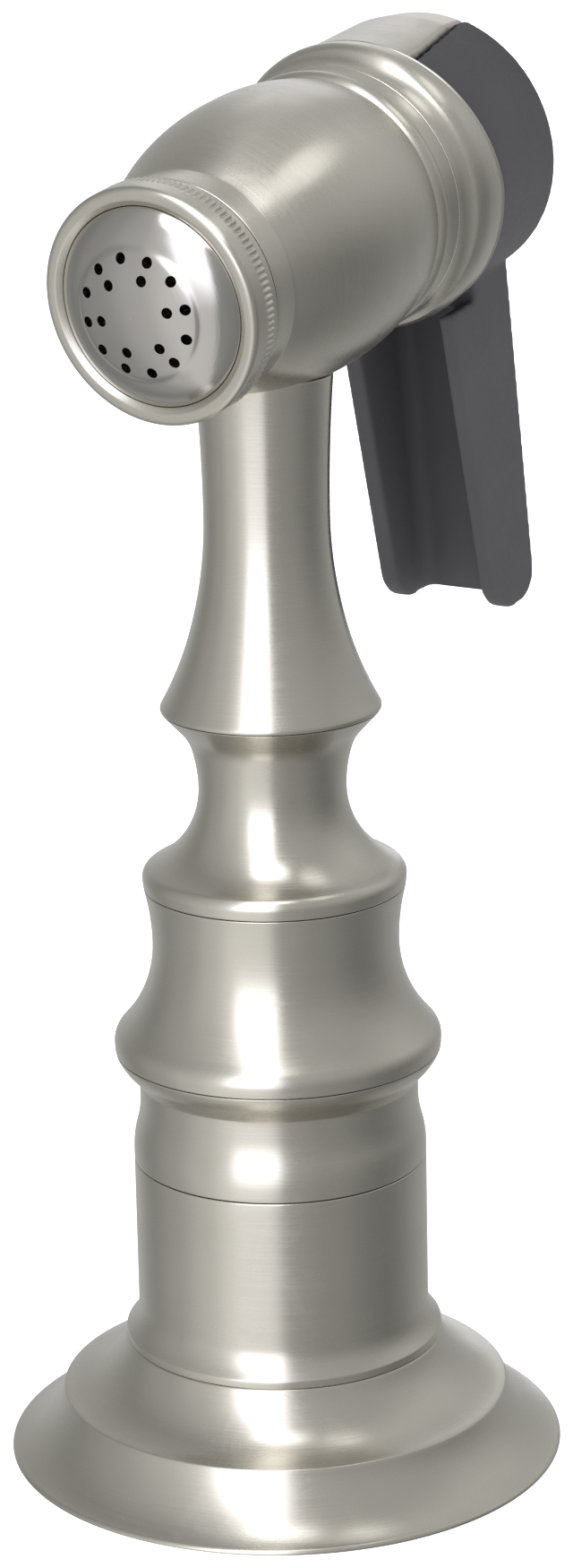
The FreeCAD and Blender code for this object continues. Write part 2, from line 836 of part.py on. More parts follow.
def valve_spring():
    """Compression spring between the plug and the poppet."""
    low = plug_back + size("spring_wire_radius") + fit
    high = poppet_front - size("spring_wire_radius") - fit
    helix = doc.addObject("Part::Helix", "spring_line")
    helix.setExpression("Radius", "Sizes.spring_radius")
    helix.setExpression("Height", (high - low).text)
    helix.setExpression("Pitch", ((high - low) / size("spring_turns")).text)
    wire = doc.addObject("Part::Circle", "spring_wire")
    wire.setExpression("Radius", "Sizes.spring_wire_radius")
    wire.setExpression("Placement.Base.x", "Sizes.spring_radius")
    wire.Placement.Rotation = FreeCAD.Rotation(FreeCAD.Vector(1, 0, 0), 90)
    coil = doc.addObject("Part::Sweep", "valve_spring_coil")
    coil.Sections = [wire]
    coil.Spine = (helix, ["Edge1"])
    coil.Solid = True
    coil.Frenet = True
    lie_along_head(coil, low)
    return keep(coil, "valve_spring")


def bonnet():
    """Gland that closes the valve, guides the stem and carries the collar."""
    bore = size("stem_radius") + size("running_fit")
    groove = size("stem_radius") + 2 * size("stem_seal_radius") + 2 * fit
    half = size("stem_seal_radius") + fit
    return turned("bonnet", [
        line_to(bonnet_front, bore),
        line_to(bonnet_front, size("barrel_bore_radius") - fit),
        line_to(size("barrel_tail_station"), size("barrel_bore_radius") - fit),
        line_to(size("barrel_tail_station"), size("bonnet_neck_radius")),
        line_to(neck_end, size("bonnet_neck_radius")),
        line_to(neck_end, bore),
        line_to(size("stem_seal_station") + half, bore),
        line_to(size("stem_seal_station") + half, groove),
        line_to(size("stem_seal_station") - half, groove),
        line_to(size("stem_seal_station") - half, bore),
    ], HEAD)


def stem_seal():
    """O-ring in the bonnet, round the stem."""
    centre = size("stem_radius") + size("stem_seal_radius") + fit
    body = new_body("stem_seal", HEAD)
    outline = draw_circles(body, "stem_seal_circle", "YZ_Plane", [
        (size("stem_seal_station"), centre, size("stem_seal_radius"))])
    ring_turn = body.newObject("PartDesign::Revolution", "stem_seal_turning")
    ring_turn.Profile = outline
    ring_turn.ReferenceAxis = (outline, ["H_Axis"])
    ring_turn.Angle = 360
    return keep(body, "stem_seal")


def hinge_collar():
    """Collar with a skirt for the lever's cup, and the hinge lug on top, in one casting."""
    bead = size("collar_bead_radius")
    groove = size("collar_groove_radius")
    rim = size("collar_radius")
    end = size("collar_end_station")
    bead_end = web_front + size("collar_bead_width")
    groove_end = bead_end + size("collar_groove_width")
    soft = (rim - size("skirt_bore_radius")) / 2
    step = rim - groove
    lug_start = web_back - size("lug_root")
    lug_end = size("lever_back_station")
    lug_top = size("skirt_bore_radius")
    body = new_body("hinge_collar", HEAD)
    revolve(body, "collar_turning", [
        line_to(web_front, size("bonnet_neck_radius") + fit),
        line_to(web_front, bead - size("collar_bead_width") / 2),
        bend_to(web_front + size("collar_bead_width") / 2, bead, size("collar_bead_width") / 2, -1),
        line_to(bead_end, bead),
        line_to(bead_end, groove),
        line_to(groove_end, groove),
        bend_to(groove_end + step, rim, step, -1),
        line_to(end - soft, rim),
        bend_to(end, rim - soft, soft, -1),
        line_to(end, size("skirt_bore_radius")),
        line_to(web_back, size("skirt_bore_radius")),
        line_to(web_back, size("bonnet_neck_radius") + fit),
    ], HEAD)
    lug = draw(body, "lug_outline", "YZ_Plane", [
        line_to(lug_start, size("lug_floor")),
        line_to(lug_end, size("lug_floor")),
        line_to(lug_end, lug_top),
        line_to(lug_start, lug_top),
    ])
    across(body, "lug", lug, size("lug_width"))
    revolve(body, "lug_crown", [
        line_to(end, size("lug_crown_radius")),
        line_to(lug_end + overrun, size("lug_crown_radius")),
        line_to(lug_end + overrun, lug_top + overrun),
        line_to(end, lug_top + overrun),
    ], HEAD, cut=True)
    eye = draw_circles(body, "lug_eye", "YZ_Plane", [
        (size("pivot_station"), size("pivot_rise"), size("pin_radius") + fit)])
    across(body, "lug_bore", eye, through, cut=True)
    return keep(body, "hinge_collar")


def bonnet_nut():
    """Round nut that clamps the collar on the bonnet."""
    return turned("bonnet_nut", head_ring(
        size("bonnet_neck_radius") + fit, size("nut_radius"),
        web_back + fit, web_back + fit + size("nut_thickness")), HEAD)


def pivot_pin():
    """Hinge pin, fixed in the lug."""
    body = new_body("pivot_pin", HEAD)
    disc = draw_circles(body, "pin_circle", "YZ_Plane", [
        (size("pivot_station"), size("pivot_rise"), size("pin_radius"))])
    across(body, "pin", disc, size("pin_length"))
    return keep(body, "pivot_pin")


# ---------------------------------------------------------------- lever
def lever():
    """Moulded cup with a channel-shaped tongue, hinge ears and a push boss."""
    radius = size("lever_cup_radius")
    inner = radius - size("lever_cup_wall")
    back = size("lever_back_station")
    edge = size("lever_edge_bend")
    crown = size("lever_back_crown")
    crown_bend = level_bend(radius - edge, crown)
    floor = back - size("lever_back_wall")
    start = size("collar_end_station") - size("lever_front_overlap")
    body = new_body("lever", HEAD)
    revolve(body, "lever_cup", [
        line_to(start, 0),
        line_to(start, radius),
        line_to(back - edge, radius),
        bend_to(back, radius - edge, edge, -1),
        bend_to(back + crown, 0, crown_bend, -1),
    ], HEAD)
    tongue = draw(body, "tongue_outline", "YZ_Plane", tongue_path(radius, back))
    across(body, "tongue", tongue, size("tongue_width"))
    revolve(body, "cup_hollow", [
        line_to(start - overrun, 0),
        line_to(start - overrun, inner),
        line_to(floor, inner),
        line_to(floor, 0),
    ], HEAD, cut=True)
    slope = draw(body, "front_slope", "YZ_Plane", [
        line_to(start - overrun, -(radius + overrun)),
        line_to(size("lever_front_low"), -(radius + overrun)),
        line_to(size("lever_front_high"), radius + overrun),
        line_to(start - overrun, radius + overrun),
    ])
    across(body, "front_cut", slope, through, cut=True)
    channel = draw(body, "channel_outline", "YZ_Plane", channel_path(radius, back))
    across(body, "channel", channel,
           size("tongue_width") - 2 * size("tongue_flange_wall"), cut=True)
    ear_width = size("lug_width") + 2 * size("lever_slot_gap") + 2 * size("ear_thickness")
    ears = draw(body, "ear_outline", "YZ_Plane", [
        line_to(size("ear_front_station"), size("ear_floor")),
        line_to(back - size("ear_back_setback"), size("ear_floor")),
        line_to(back - size("ear_back_setback"), size("ear_ceiling")),
        line_to(size("ear_front_station"), size("ear_ceiling")),
    ])
    across(body, "ears", ears, ear_width)
    boss_tip = size("stem_end_station") + size("boss_gap")
    boss = size("boss_radius")
    boss_foot = floor + size("boss_root")
    nose = boss / 2
    revolve(body, "push_boss", [
        line_to(boss_foot, 0),
        line_to(boss_foot, boss),
        line_to(boss_tip + nose, boss),
        bend_to(boss_tip, 0, level_bend(boss, nose), 1),
    ], HEAD)
    slot_floor = size("lug_floor") - size("lever_slot_gap")
    slot = draw(body, "slot_outline", "YZ_Plane", [
        line_to(start - overrun, slot_floor),
        line_to(back + crown + overrun, slot_floor),
        line_to(back + crown + overrun, radius + overrun),
        line_to(start - overrun, radius + overrun),
    ])
    across(body, "lug_slot", slot, size("lug_width") + 2 * size("lever_slot_gap"), cut=True)
    eye = draw_circles(body, "lever_eye", "YZ_Plane", [
        (size("pivot_station"), size("pivot_rise"), size("pin_radius") + size("running_fit"))])
    across(body, "lever_bore", eye, size("pin_length") + 2 * size("pin_end_gap"), cut=True)
    return keep(body, "lever")


def tongue_path(radius, back):
    """Side outline of the tongue: relieved under the collar, rounded at the foot."""
    root = -(radius - size("tongue_root"))
    foot = -size("tongue_drop")
    tip_front = size("tongue_tip_front")
    tip_back = size("tongue_tip_back")
    heel = size("tongue_heel_bend")
    toe = size("tongue_toe_bend")
    setback = size("tongue_back_setback")
    return [
        line_to(size("tongue_relief_station"), root),
        line_to(size("tongue_relief_station"), -(radius - size("tongue_relief_depth"))),
        line_to(size("tongue_shoulder_front"), -size("tongue_shoulder_drop")),
        line_to(tip_front, foot + toe),
        bend_to(tip_front + toe, foot, toe, 1),
        line_to(tip_back - heel, foot),
        bend_to(tip_back, foot + heel, heel, 1),
        line_to(back, -(radius - setback)),
        line_to(back - setback, root),
    ]


def channel_path(radius, back):
    """Side outline of the hollow between the tongue's flanges."""
    web = size("tongue_web_wall")
    top = -(radius + size("channel_top_gap"))
    front = size("tongue_shoulder_front") - overrun
    behind = size("tongue_tip_back") + overrun
    below = -(size("tongue_drop") + overrun)
    web_end = -size("tongue_web_drop")
    return [
        line_to(front, top),
        line_to(front, below),
        line_to(behind, below),
        line_to(behind, web_end),
        line_to(size("tongue_tip_back") - web, web_end),
        line_to(back - web, top),
    ]


# ---------------------------------------------------------------- spray face
def face_cap():
    """Screw cap with a rolled rim and a fine coin edge at its back."""
    radius = size("cap_radius")
    front = size("cap_front_station")
    back = size("barrel_front_station") - size("cap_back_gap")
    lip = size("cap_lip_radius")
    inner = size("nose_radius") + fit
    knurl_end = size("knurl_front_station") + size("knurl_width")
    roll = size("cap_lip_thickness") / 2
    body = new_body("face_cap", HEAD)
    revolve(body, "cap_turning", [
        line_to(back, inner),
        line_to(back, size("cap_neck_radius")),
        line_to(knurl_end, size("cap_neck_radius")),
        line_to(knurl_end, radius),
        line_to(front + roll, radius),
        bend_to(front, radius - roll, roll, 1),
        line_to(front, radius - 2 * roll),
        line_to(front + roll, lip),
        line_to(front + 2 * roll, lip),
        line_to(front + 2 * roll, inner),
    ], HEAD)
    crest = radius + size("knurl_overcut")
    tooth = draw(body, "knurl_tooth", "XZ_Plane", [
        line_to(0, radius - size("knurl_depth")),
        line_to(size("knurl_half_width"), crest),
        line_to(-size("knurl_half_width"), crest),
    ])
    tooth.AttachmentOffset = FreeCAD.Placement(
        FreeCAD.Vector(0, 0, -size("knurl_front_station").value), FreeCAD.Rotation())
    tooth.setExpression("AttachmentOffset.Base.z", "-Sizes.knurl_front_station")
    groove = body.newObject("PartDesign::Pocket", "knurl_groove")
    groove.Profile = tooth
    groove.setExpression("Length", "Sizes.knurl_width")
    around(body, "knurl", groove, size("knurl_count"))
    return keep(body, "face_cap")


def spray_plate():
    """Plate with a raised disc and a rounded shoulder, drilled with two rings of spray holes.

    The cap's lip traps it. A shallow groove parts the disc from the shoulder.
    """
    flange_front = size("cap_front_station") + size("cap_lip_thickness") + fit
    flange_back = flange_front + size("plate_flange_thickness")
    chord = size("cap_lip_radius") - fit
    base = size("cap_front_station") + size("plate_dome_setback")
    groove_radius = size("plate_disc_radius") + size("plate_step_width")
    shoulder_radius = groove_radius + size("plate_groove_width")
    shoulder = base - size("plate_shoulder_depth")
    groove = shoulder - size("plate_groove_depth")
    disc = groove - size("plate_step_depth")
    apex = disc - size("plate_disc_crown")
    inner_apex = apex + size("plate_wall")
    throat = chord - size("plate_wall")
    body = new_body("spray_plate", HEAD)
    revolve(body, "plate_turning", [
        line_to(flange_back, throat),
        line_to(flange_back, size("nose_radius")),
        line_to(flange_front, size("nose_radius")),
        line_to(flange_front, chord),
        line_to(base, chord),
        bend_to(shoulder, shoulder_radius, size("plate_shoulder_bend"), 1),
        bend_to(groove, groove_radius, size("plate_groove_bend"), -1),
        bend_to(disc, size("plate_disc_radius"), size("plate_step_bend"), 1),
        bend_to(apex, 0, level_bend(size("plate_disc_radius"), size("plate_disc_crown")), 1),
        line_to(inner_apex, 0),
        bend_to(flange_front, throat, level_bend(throat, flange_front - inner_apex), -1),
    ], HEAD)
    across_share = Size(math.sin(math.radians(size("hole_turn").value)), "sin(Sizes.hole_turn)")
    up_share = Size(math.cos(math.radians(size("hole_turn").value)), "cos(Sizes.hole_turn)")
    for name in ("outer", "inner"):
        ring_radius = size(f"{name}_hole_ring")
        spot = draw_circles(body, f"{name}_hole_circle", "XZ_Plane", [
            (ring_radius * across_share, ring_radius * up_share, size("hole_radius"))])
        hole = across(body, f"{name}_hole", spot, through, cut=True)
        around(body, f"{name}_holes", hole, size(f"{name}_hole_count"))
    return keep(body, "spray_plate")


def face_gasket():
    """Rubber ring between the barrel's nose and the spray plate."""
    flange_back = (size("cap_front_station") + size("cap_lip_thickness") + fit
                   + size("plate_flange_thickness"))
    nose_front = size("barrel_front_station") - size("nose_length")
    return turned("face_gasket", head_ring(
        size("nose_bore_radius"), size("nose_radius"), flange_back + fit, nose_front - fit), HEAD)


# ---------------------------------------------------------------- build, check and write
BUILDERS = (
    deck_flange, flange_gasket, holder_sleeve, guide_bush,
    lower_cup, hose_spigot, hose_washer, inner_tube,
    handle_bell, handle_waist, handle_trumpet,
    barrel, valve_body, valve_seat, spring_plug, valve_spring, valve_stem, poppet_washer,
    bonnet, stem_seal, hinge_collar, bonnet_nut, pivot_pin, lever,
    face_cap, spray_plate, face_gasket,
)
for build_piece in BUILDERS:
    build_piece()
doc.recompute()

for thing in doc.Objects:
    if "Invalid" in thing.State or "Error" in thing.State:
        raise RuntimeError(f"{thing.Label} did not rebuild: {thing.State}")
for piece in PARTS:
    if piece.Shape.isNull() or not piece.Shape.isValid():
        raise RuntimeError(f"{piece.Label} is not a valid shape")

os.makedirs("parts", exist_ok=True)
for piece in PARTS:
    piece.Shape.exportStep(f"parts/{piece.Label}.step")
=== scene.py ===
"""Kitchen hand spray in its deck holder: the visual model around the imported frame.

The frame is in metres: +Z up the handle, spray face towards -Y. The spray's own sizes are
in millimetres here, and are turned to metres where a mesh is made. The floor, the lamps, the
camera and the depth of a finish are in metres, and named angles are in degrees.
"""
import json
import math

import bpy
import numpy as np
from mathutils import Matrix, Vector


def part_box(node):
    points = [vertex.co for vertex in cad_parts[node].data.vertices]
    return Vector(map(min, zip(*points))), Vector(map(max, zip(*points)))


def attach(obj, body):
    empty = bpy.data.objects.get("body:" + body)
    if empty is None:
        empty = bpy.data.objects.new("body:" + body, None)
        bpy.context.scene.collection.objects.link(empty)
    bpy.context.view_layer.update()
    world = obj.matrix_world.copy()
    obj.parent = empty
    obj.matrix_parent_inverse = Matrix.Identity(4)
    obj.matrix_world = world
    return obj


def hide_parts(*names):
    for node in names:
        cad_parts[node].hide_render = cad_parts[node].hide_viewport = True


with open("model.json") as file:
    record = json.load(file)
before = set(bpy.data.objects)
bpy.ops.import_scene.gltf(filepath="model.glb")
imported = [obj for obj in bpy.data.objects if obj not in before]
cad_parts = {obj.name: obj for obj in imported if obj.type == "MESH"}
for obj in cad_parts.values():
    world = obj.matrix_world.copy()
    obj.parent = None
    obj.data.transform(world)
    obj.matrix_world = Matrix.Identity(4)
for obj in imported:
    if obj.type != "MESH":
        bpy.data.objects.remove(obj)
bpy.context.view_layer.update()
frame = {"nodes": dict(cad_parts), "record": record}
nodes = frame["nodes"]
record = frame["record"]

MM = 0.001


# ---------------------------------------------------------------- places read from the frame
def joint(name):
    """The record's joint of that name."""
    for entry in record["behaviour"]["joints"]:
        if entry["name"] == name:
            return entry
    raise KeyError(name)


def levels(name):
    """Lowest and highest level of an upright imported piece, to the micron."""
    low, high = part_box(name)
    return round(low.z / MM, 3), round(high.z / MM, 3)


# The head's own directions, and the point on its axis that its stations are counted from: the
# lever's pin lies behind and above it.
REAR = -np.array(joint("stem_slide")["axis"], dtype=float)
REAR /= np.linalg.norm(REAR)
SIDE = np.array([1.0, 0.0, 0.0])
UP = np.cross(SIDE, REAR)
PIN_STATION = 28.0
PIN_RISE = 11.3
HEAD = np.array(joint("lever_squeeze")["pos_m"], dtype=float) - (PIN_STATION * REAR + PIN_RISE * UP) * MM

# Places for turned pieces: a point on the axis, two directions across it, and the axis itself.
UPRIGHT = (np.zeros(3), np.array([1.0, 0, 0]), np.array([0, 1.0, 0]), np.array([0, 0, 1.0]))
ALONG_HEAD = (HEAD, UP, SIDE, REAR)


def in_head(side, rise, station):
    """Points given along the head's own side, up and rear directions."""
    side, rise, station = np.broadcast_arrays(side, rise, station)
    return HEAD + (side[..., None] * SIDE + rise[..., None] * UP + station[..., None] * REAR) * MM


# ---------------------------------------------------------------- outlines
# An outline is a closed list of runs in (radius, height) order: the first run starts where the
# last one ends.
SAMPLE_STEP = 0.05
DENSE_POINTS = 8192
EVEN_SHARE = 0.7    # how much of the spacing goes by length, against 1 for turning


def line(x, y):
    """A straight run that ends at x, y."""
    return (x, y, None, 0)


def bend(x, y, radius, turn):
    """An arc of that radius that ends at x, y: turn is 1 to the left, -1 to the right."""
    return (x, y, radius, turn)


def level_bend(run, rise):
    """Radius of the arc that starts level and has climbed rise after run."""
    return (run * run + rise * rise) / (2 * rise)


def hollow(start, neck, end):
    """Two arcs that meet level at the neck: in from the rim at start, and out to the rim at end."""
    below = level_bend(neck[1] - start[1], start[0] - neck[0])
    above = level_bend(end[1] - neck[1], end[0] - neck[0])
    return [bend(*neck, below, -1), bend(*end, above, -1)]


def ogee(start, end):
    """Two equal tangent arcs, upright at both ends."""
    step = end[0] - start[0]
    rise = end[1] - start[1]
    radius = (step * step + rise * rise) / (4 * abs(step))
    turn = -1 if step * rise > 0 else 1
    middle = (start[0] + step / 2, start[1] + rise / 2)
    return [bend(*middle, radius, turn), bend(*end, radius, -turn)]


def head_path(path):
    """An outline drawn in (station, radius) order, turned to (radius, station) order."""
    return [(radius, station, curve, -turn) for station, radius, curve, turn in path]


def traced(path):
    """The outline as dense points: each arc and straight run sampled at equal steps."""
    points = []
    start = np.array(path[-1][:2], dtype=float)
    for x, y, radius, turn in path:
        end = np.array([x, y], dtype=float)
        count = max(2, int(np.linalg.norm(end - start) / SAMPLE_STEP) + 1)
        along = np.linspace(0, 1, count, endpoint=False)[:, None]
        if radius is None:
            points.append(start + along * (end - start))
        else:
            half = (end - start) / 2
            reach = math.sqrt(max(radius ** 2 - half @ half, 0.0))
            left = np.array([-half[1], half[0]]) / np.linalg.norm(half)
            centre = start + half + left * reach * turn
            first = math.atan2(*(start - centre)[::-1])
            swing = 2 * math.asin(min(1.0, np.linalg.norm(half) / radius)) * turn
            angle = first + along[:, 0] * swing
            points.append(centre + radius * np.stack([np.cos(angle), np.sin(angle)], -1))
        start = end
    return np.concatenate(points)


def placed_along(points, measure, count):
    """The closed outline at count points, evenly spaced by a measure summed from point to point."""
    loop = np.vstack([points, points[:1]])
    gone = np.concatenate([[0], np.cumsum(measure)])
    at = np.linspace(0, gone[-1], count, endpoint=False)
    return np.stack([np.interp(at, gone, loop[:, k]) for k in (0, 1)], -1)


def step_lengths(points):
    """The distance from each point of a closed outline to the next."""
    return np.linalg.norm(np.roll(points, -1, axis=0) - points, axis=1)


def softened(path, soft, count):
    """The outline with its corners eased.

    The points are blurred along the outline's length by a bell curve of width soft, and
    then spaced by how much the outline turns, so that the eased corners get most points.
    """
    rough = traced(path)
    lengths = step_lengths(rough)
    dense = placed_along(rough, lengths, DENSE_POINTS)
    waves = np.fft.fftfreq(DENSE_POINTS, d=lengths.sum() / DENSE_POINTS)
    blur = np.exp(-2 * (math.pi * waves * soft) ** 2)[:, None]
    smooth = np.fft.ifft(np.fft.fft(dense, axis=0) * blur, axis=0).real
    ahead = np.roll(smooth, -1, axis=0) - smooth
    heading = np.arctan2(ahead[:, 1], ahead[:, 0])
    turn = np.abs((np.diff(heading, append=heading[:1]) + math.pi) % (2 * math.pi) - math.pi)
    return placed_along(smooth, turn / turn.sum() + EVEN_SHARE / DENSE_POINTS, count)


# ---------------------------------------------------------------- meshes
def mesh_from(name, points, faces):
    """A mesh from an array of points and a list of faces."""
    mesh = bpy.data.meshes.new(name)
    mesh.from_pydata(points.tolist(), [], faces)
    return mesh


def finished(name, mesh, material, body, replaced=()):
    """A piece at the origin, with its place in its mesh.

    It gets its finish, is hung under the empty of the body it rides on, and the imported node it stands for
    is hidden.
    """
    mesh.polygons.foreach_set("use_smooth", [True] * len(mesh.polygons))
    mesh.materials.clear()
    mesh.materials.append(material)
    mesh.update()
    thing = bpy.data.objects.new(name, mesh)
    bpy.context.scene.collection.objects.link(thing)
    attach(thing, body)
    if replaced:
        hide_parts(*replaced)


def settled(scratch, name):
    """The mesh that a scratch object's modifiers give; the object itself is thrown away."""
    bpy.context.scene.collection.objects.link(scratch)
    shaped = scratch.evaluated_get(bpy.context.evaluated_depsgraph_get())
    mesh = bpy.data.meshes.new_from_object(shaped)
    bpy.data.objects.remove(scratch)
    mesh.name = name
    return mesh


def carried_round(outline, place, around, swell=None, lean=None):
    """Points and outward faces of a closed outline carried round the axis of its place.

    A point is origin + axis * height + radius * (side * cos a + up * sin a). swell adds to
    the radius and lean to the height, each by radius, height and angle a.
    """
    origin, side, up, axis = place
    angle = np.linspace(0, 2 * math.pi, around, endpoint=False)[None, :]
    drawn_radius, drawn_height = outline[:, :1], outline[:, 1:]
    radius = drawn_radius * np.ones_like(angle)
    height = drawn_height * np.ones_like(angle)
    if swell is not None:
        radius = radius + swell(drawn_radius, drawn_height, angle)
    if lean is not None:
        height = height + lean(drawn_radius, drawn_height, angle)
    ring = (np.cos(angle)[..., None] * side + np.sin(angle)[..., None] * up) * radius[..., None]
    points = (origin + (ring + height[..., None] * axis) * MM).reshape(-1, 3)

    row = np.arange(len(outline))[:, None] * around
    next_row = np.roll(row, -1, axis=0)
    column = np.arange(around)[None, :]
    next_column = np.roll(column, -1, axis=1)
    faces = np.stack([row + column, row + next_column, next_row + next_column, next_row + column], -1)
    faces = faces.reshape(-1, 4)
    ahead = np.roll(outline, -1, axis=0)
    if (outline[:, 0] * ahead[:, 1] - ahead[:, 0] * outline[:, 1]).sum() < 0:
        faces = faces[:, ::-1]
    return points, faces.tolist()


def turned(name, path, material, body, place=UPRIGHT, soft=0.12, count=150, around=192,
           swell=None, lean=None):
    """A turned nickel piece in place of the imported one: its eased outline carried round."""
    points, faces = carried_round(softened(path, soft, count), place, around, swell, lean)
    skin = name + "_skin"
    finished(skin, mesh_from(skin, points, faces), material, body, (name,))


def thick_sheet(outer, inner):
    """A closed solid between two matching grids of points, with walls along all four borders."""
    rows, columns = outer.shape[:2]
    top = np.arange(rows * columns).reshape(rows, columns)
    low = top + rows * columns

    def quads(a, b, c, d):
        """Four-sided faces from matching arrays of corners."""
        return np.stack([a, b, c, d], -1).reshape(-1, 4)

    faces = [quads(top[:-1, :-1], top[:-1, 1:], top[1:, 1:], top[1:, :-1]),
             quads(low[:-1, :-1], low[1:, :-1], low[1:, 1:], low[:-1, 1:])]
    for edge, under in ((top[0], low[0]), (top[:, -1], low[:, -1]),
                        (top[-1, ::-1], low[-1, ::-1]), (top[::-1, 0], low[::-1, 0])):
        faces.append(quads(edge[:-1], under[:-1], under[1:], edge[1:]))
    points = np.concatenate([outer.reshape(-1, 3), inner.reshape(-1, 3)])
    return points, np.concatenate(faces).tolist()


def prism(outline, low, high):
    """A side outline in (station, rise) order carried across the head from low to high."""
    station, rise = np.array(outline, dtype=float).T
    count = len(outline)
    step = np.arange(count)
    walls = np.stack([step, (step + 1) % count, (step + 1) % count + count, step + count], -1)
    faces = walls.tolist() + [step[::-1].tolist(), (step + count).tolist()]
    return np.concatenate([in_head(low, rise, station), in_head(high, rise, station)]), faces


def joined(solids):
    """Several (points, faces) solids as one list of points and one of faces."""
    points, faces, start = [], [], 0
    for own_points, own_faces in solids:
        points.append(own_points)
        faces += [[start + corner for corner in face] for face in own_faces]
        start += len(own_points)
    return np.concatenate(points), faces


def moulded_as_one(name, solids, grain, rounds):
    """Overlapping solids fused by a voxel grid of that grain, with the edges eased in rounds."""
    rough = bpy.data.objects.new(name + "_parts", mesh_from(name + "_parts", *joined(solids)))
    fuse = rough.modifiers.new("fuse", "REMESH")
    fuse.mode = "VOXEL"
    fuse.voxel_size = grain * MM
    ease = rough.modifiers.new("ease", "SMOOTH")
    ease.factor = 0.5
    ease.iterations = rounds
    return settled(rough, name)


# ---------------------------------------------------------------- shader building
# A colour Mix node's own sockets; its others are for numbers and vectors.
MIX_FACTOR, MIX_FIRST, MIX_SECOND, MIX_RESULT = 0, 6, 7, 2


def new_material(name):
    """A material with its node tree and its Principled BSDF."""
    material = bpy.data.materials.new(name)
    material.use_nodes = True
    tree = material.node_tree
    return material, tree, tree.nodes["Principled BSDF"]


def node(tree, kind, **settings):
    """A new node with those settings."""
    made = tree.nodes.new(kind)
    for key, value in settings.items():
        setattr(made, key, value)
    return made


def feed(tree, socket, value):
    """Links another socket to this one, or sets it to a plain value."""
    if isinstance(value, bpy.types.NodeSocket):
        tree.links.new(value, socket)
    else:
        socket.default_value = value


def maths(tree, operation, first, second=None):
    """The result of a Math node on sockets or plain numbers."""
    made = node(tree, "ShaderNodeMath", operation=operation)
    feed(tree, made.inputs[0], first)
    if second is not None:
        feed(tree, made.inputs[1], second)
    return made.outputs[0]


def product(tree, *values):
    """The values multiplied together."""
    result = values[0]
    for value in values[1:]:
        result = maths(tree, "MULTIPLY", result, value)
    return result


def blended(tree, factor, first, second, way="MIX"):
    """Two colours blended in that way by the factor."""
    mix = node(tree, "ShaderNodeMix", data_type="RGBA", blend_type=way)
    for index, value in ((MIX_FACTOR, factor), (MIX_FIRST, first), (MIX_SECOND, second)):
        feed(tree, mix.inputs[index], value)
    return mix.outputs[MIX_RESULT]


def spread(tree, factor, low, high, start=0.3, end=0.7):
    """A number from low to high as the factor goes from start to end."""
    run = node(tree, "ShaderNodeMapRange")
    feed(tree, run.inputs["Value"], factor)
    run.inputs["From Min"].default_value = start
    run.inputs["From Max"].default_value = end
    run.inputs["To Min"].default_value = low
    run.inputs["To Max"].default_value = high
    return run.outputs[0]


def noise(tree, vector, scale, detail, roughness=0.5, distortion=0.0, extra=None):
    """The strength of a noise on that vector, with a fourth coordinate where one is given."""
    made = node(tree, "ShaderNodeTexNoise", noise_dimensions="3D" if extra is None else "4D")
    made.inputs["Scale"].default_value = scale
    made.inputs["Detail"].default_value = detail
    made.inputs["Roughness"].default_value = roughness
    made.inputs["Distortion"].default_value = distortion
    tree.links.new(vector, made.inputs["Vector"])
    if extra is not None:
        tree.links.new(extra, made.inputs["W"])
    return made.outputs[0]


def bumped(tree, shader, height, strength, depth):
    """Raises the surface by a height, up to that depth in metres."""
    bump = node(tree, "ShaderNodeBump")
    bump.inputs["Strength"].default_value = strength
    bump.inputs["Distance"].default_value = depth
    tree.links.new(height, bump.inputs["Height"])
    tree.links.new(bump.outputs[0], shader.inputs["Normal"])


def group(name, inputs, outputs):
    """An empty node group with named sockets; inputs are (name, socket type, default)."""
    tree = bpy.data.node_groups.new(name, "ShaderNodeTree")
    for label, kind, default in inputs:
        socket = tree.interface.new_socket(label, in_out="INPUT", socket_type=kind)
        if default is not None:
            socket.default_value = default
    for label, kind in outputs:
        tree.interface.new_socket(label, in_out="OUTPUT", socket_type=kind)
    return tree, node(tree, "NodeGroupInput").outputs, node(tree, "NodeGroupOutput").inputs


def shared_effect(tree, effect, vector):
    """A node group placed in a material's tree, working on that vector."""
    made = node(tree, "ShaderNodeGroup")
    made.node_tree = effect
    tree.links.new(vector, made.inputs["Vector"])
    return made


# ---------------------------------------------------------------- finishes
def rubbed_patches():
    """Sparse dull patches, as hands and cloths leave them: 0 where untouched, 1 where worn."""
    tree, given, out = group("Rubbed patches", [("Vector", "NodeSocketVector", None)],
                             [("Wear", "NodeSocketFloat")])
    patches = noise(tree, given["Vector"], 210.0, 7.0, roughness=0.6, distortion=0.8)
    tree.links.new(spread(tree, patches, 0.0, 1.0, start=0.52, end=0.68), out["Wear"])
    return tree


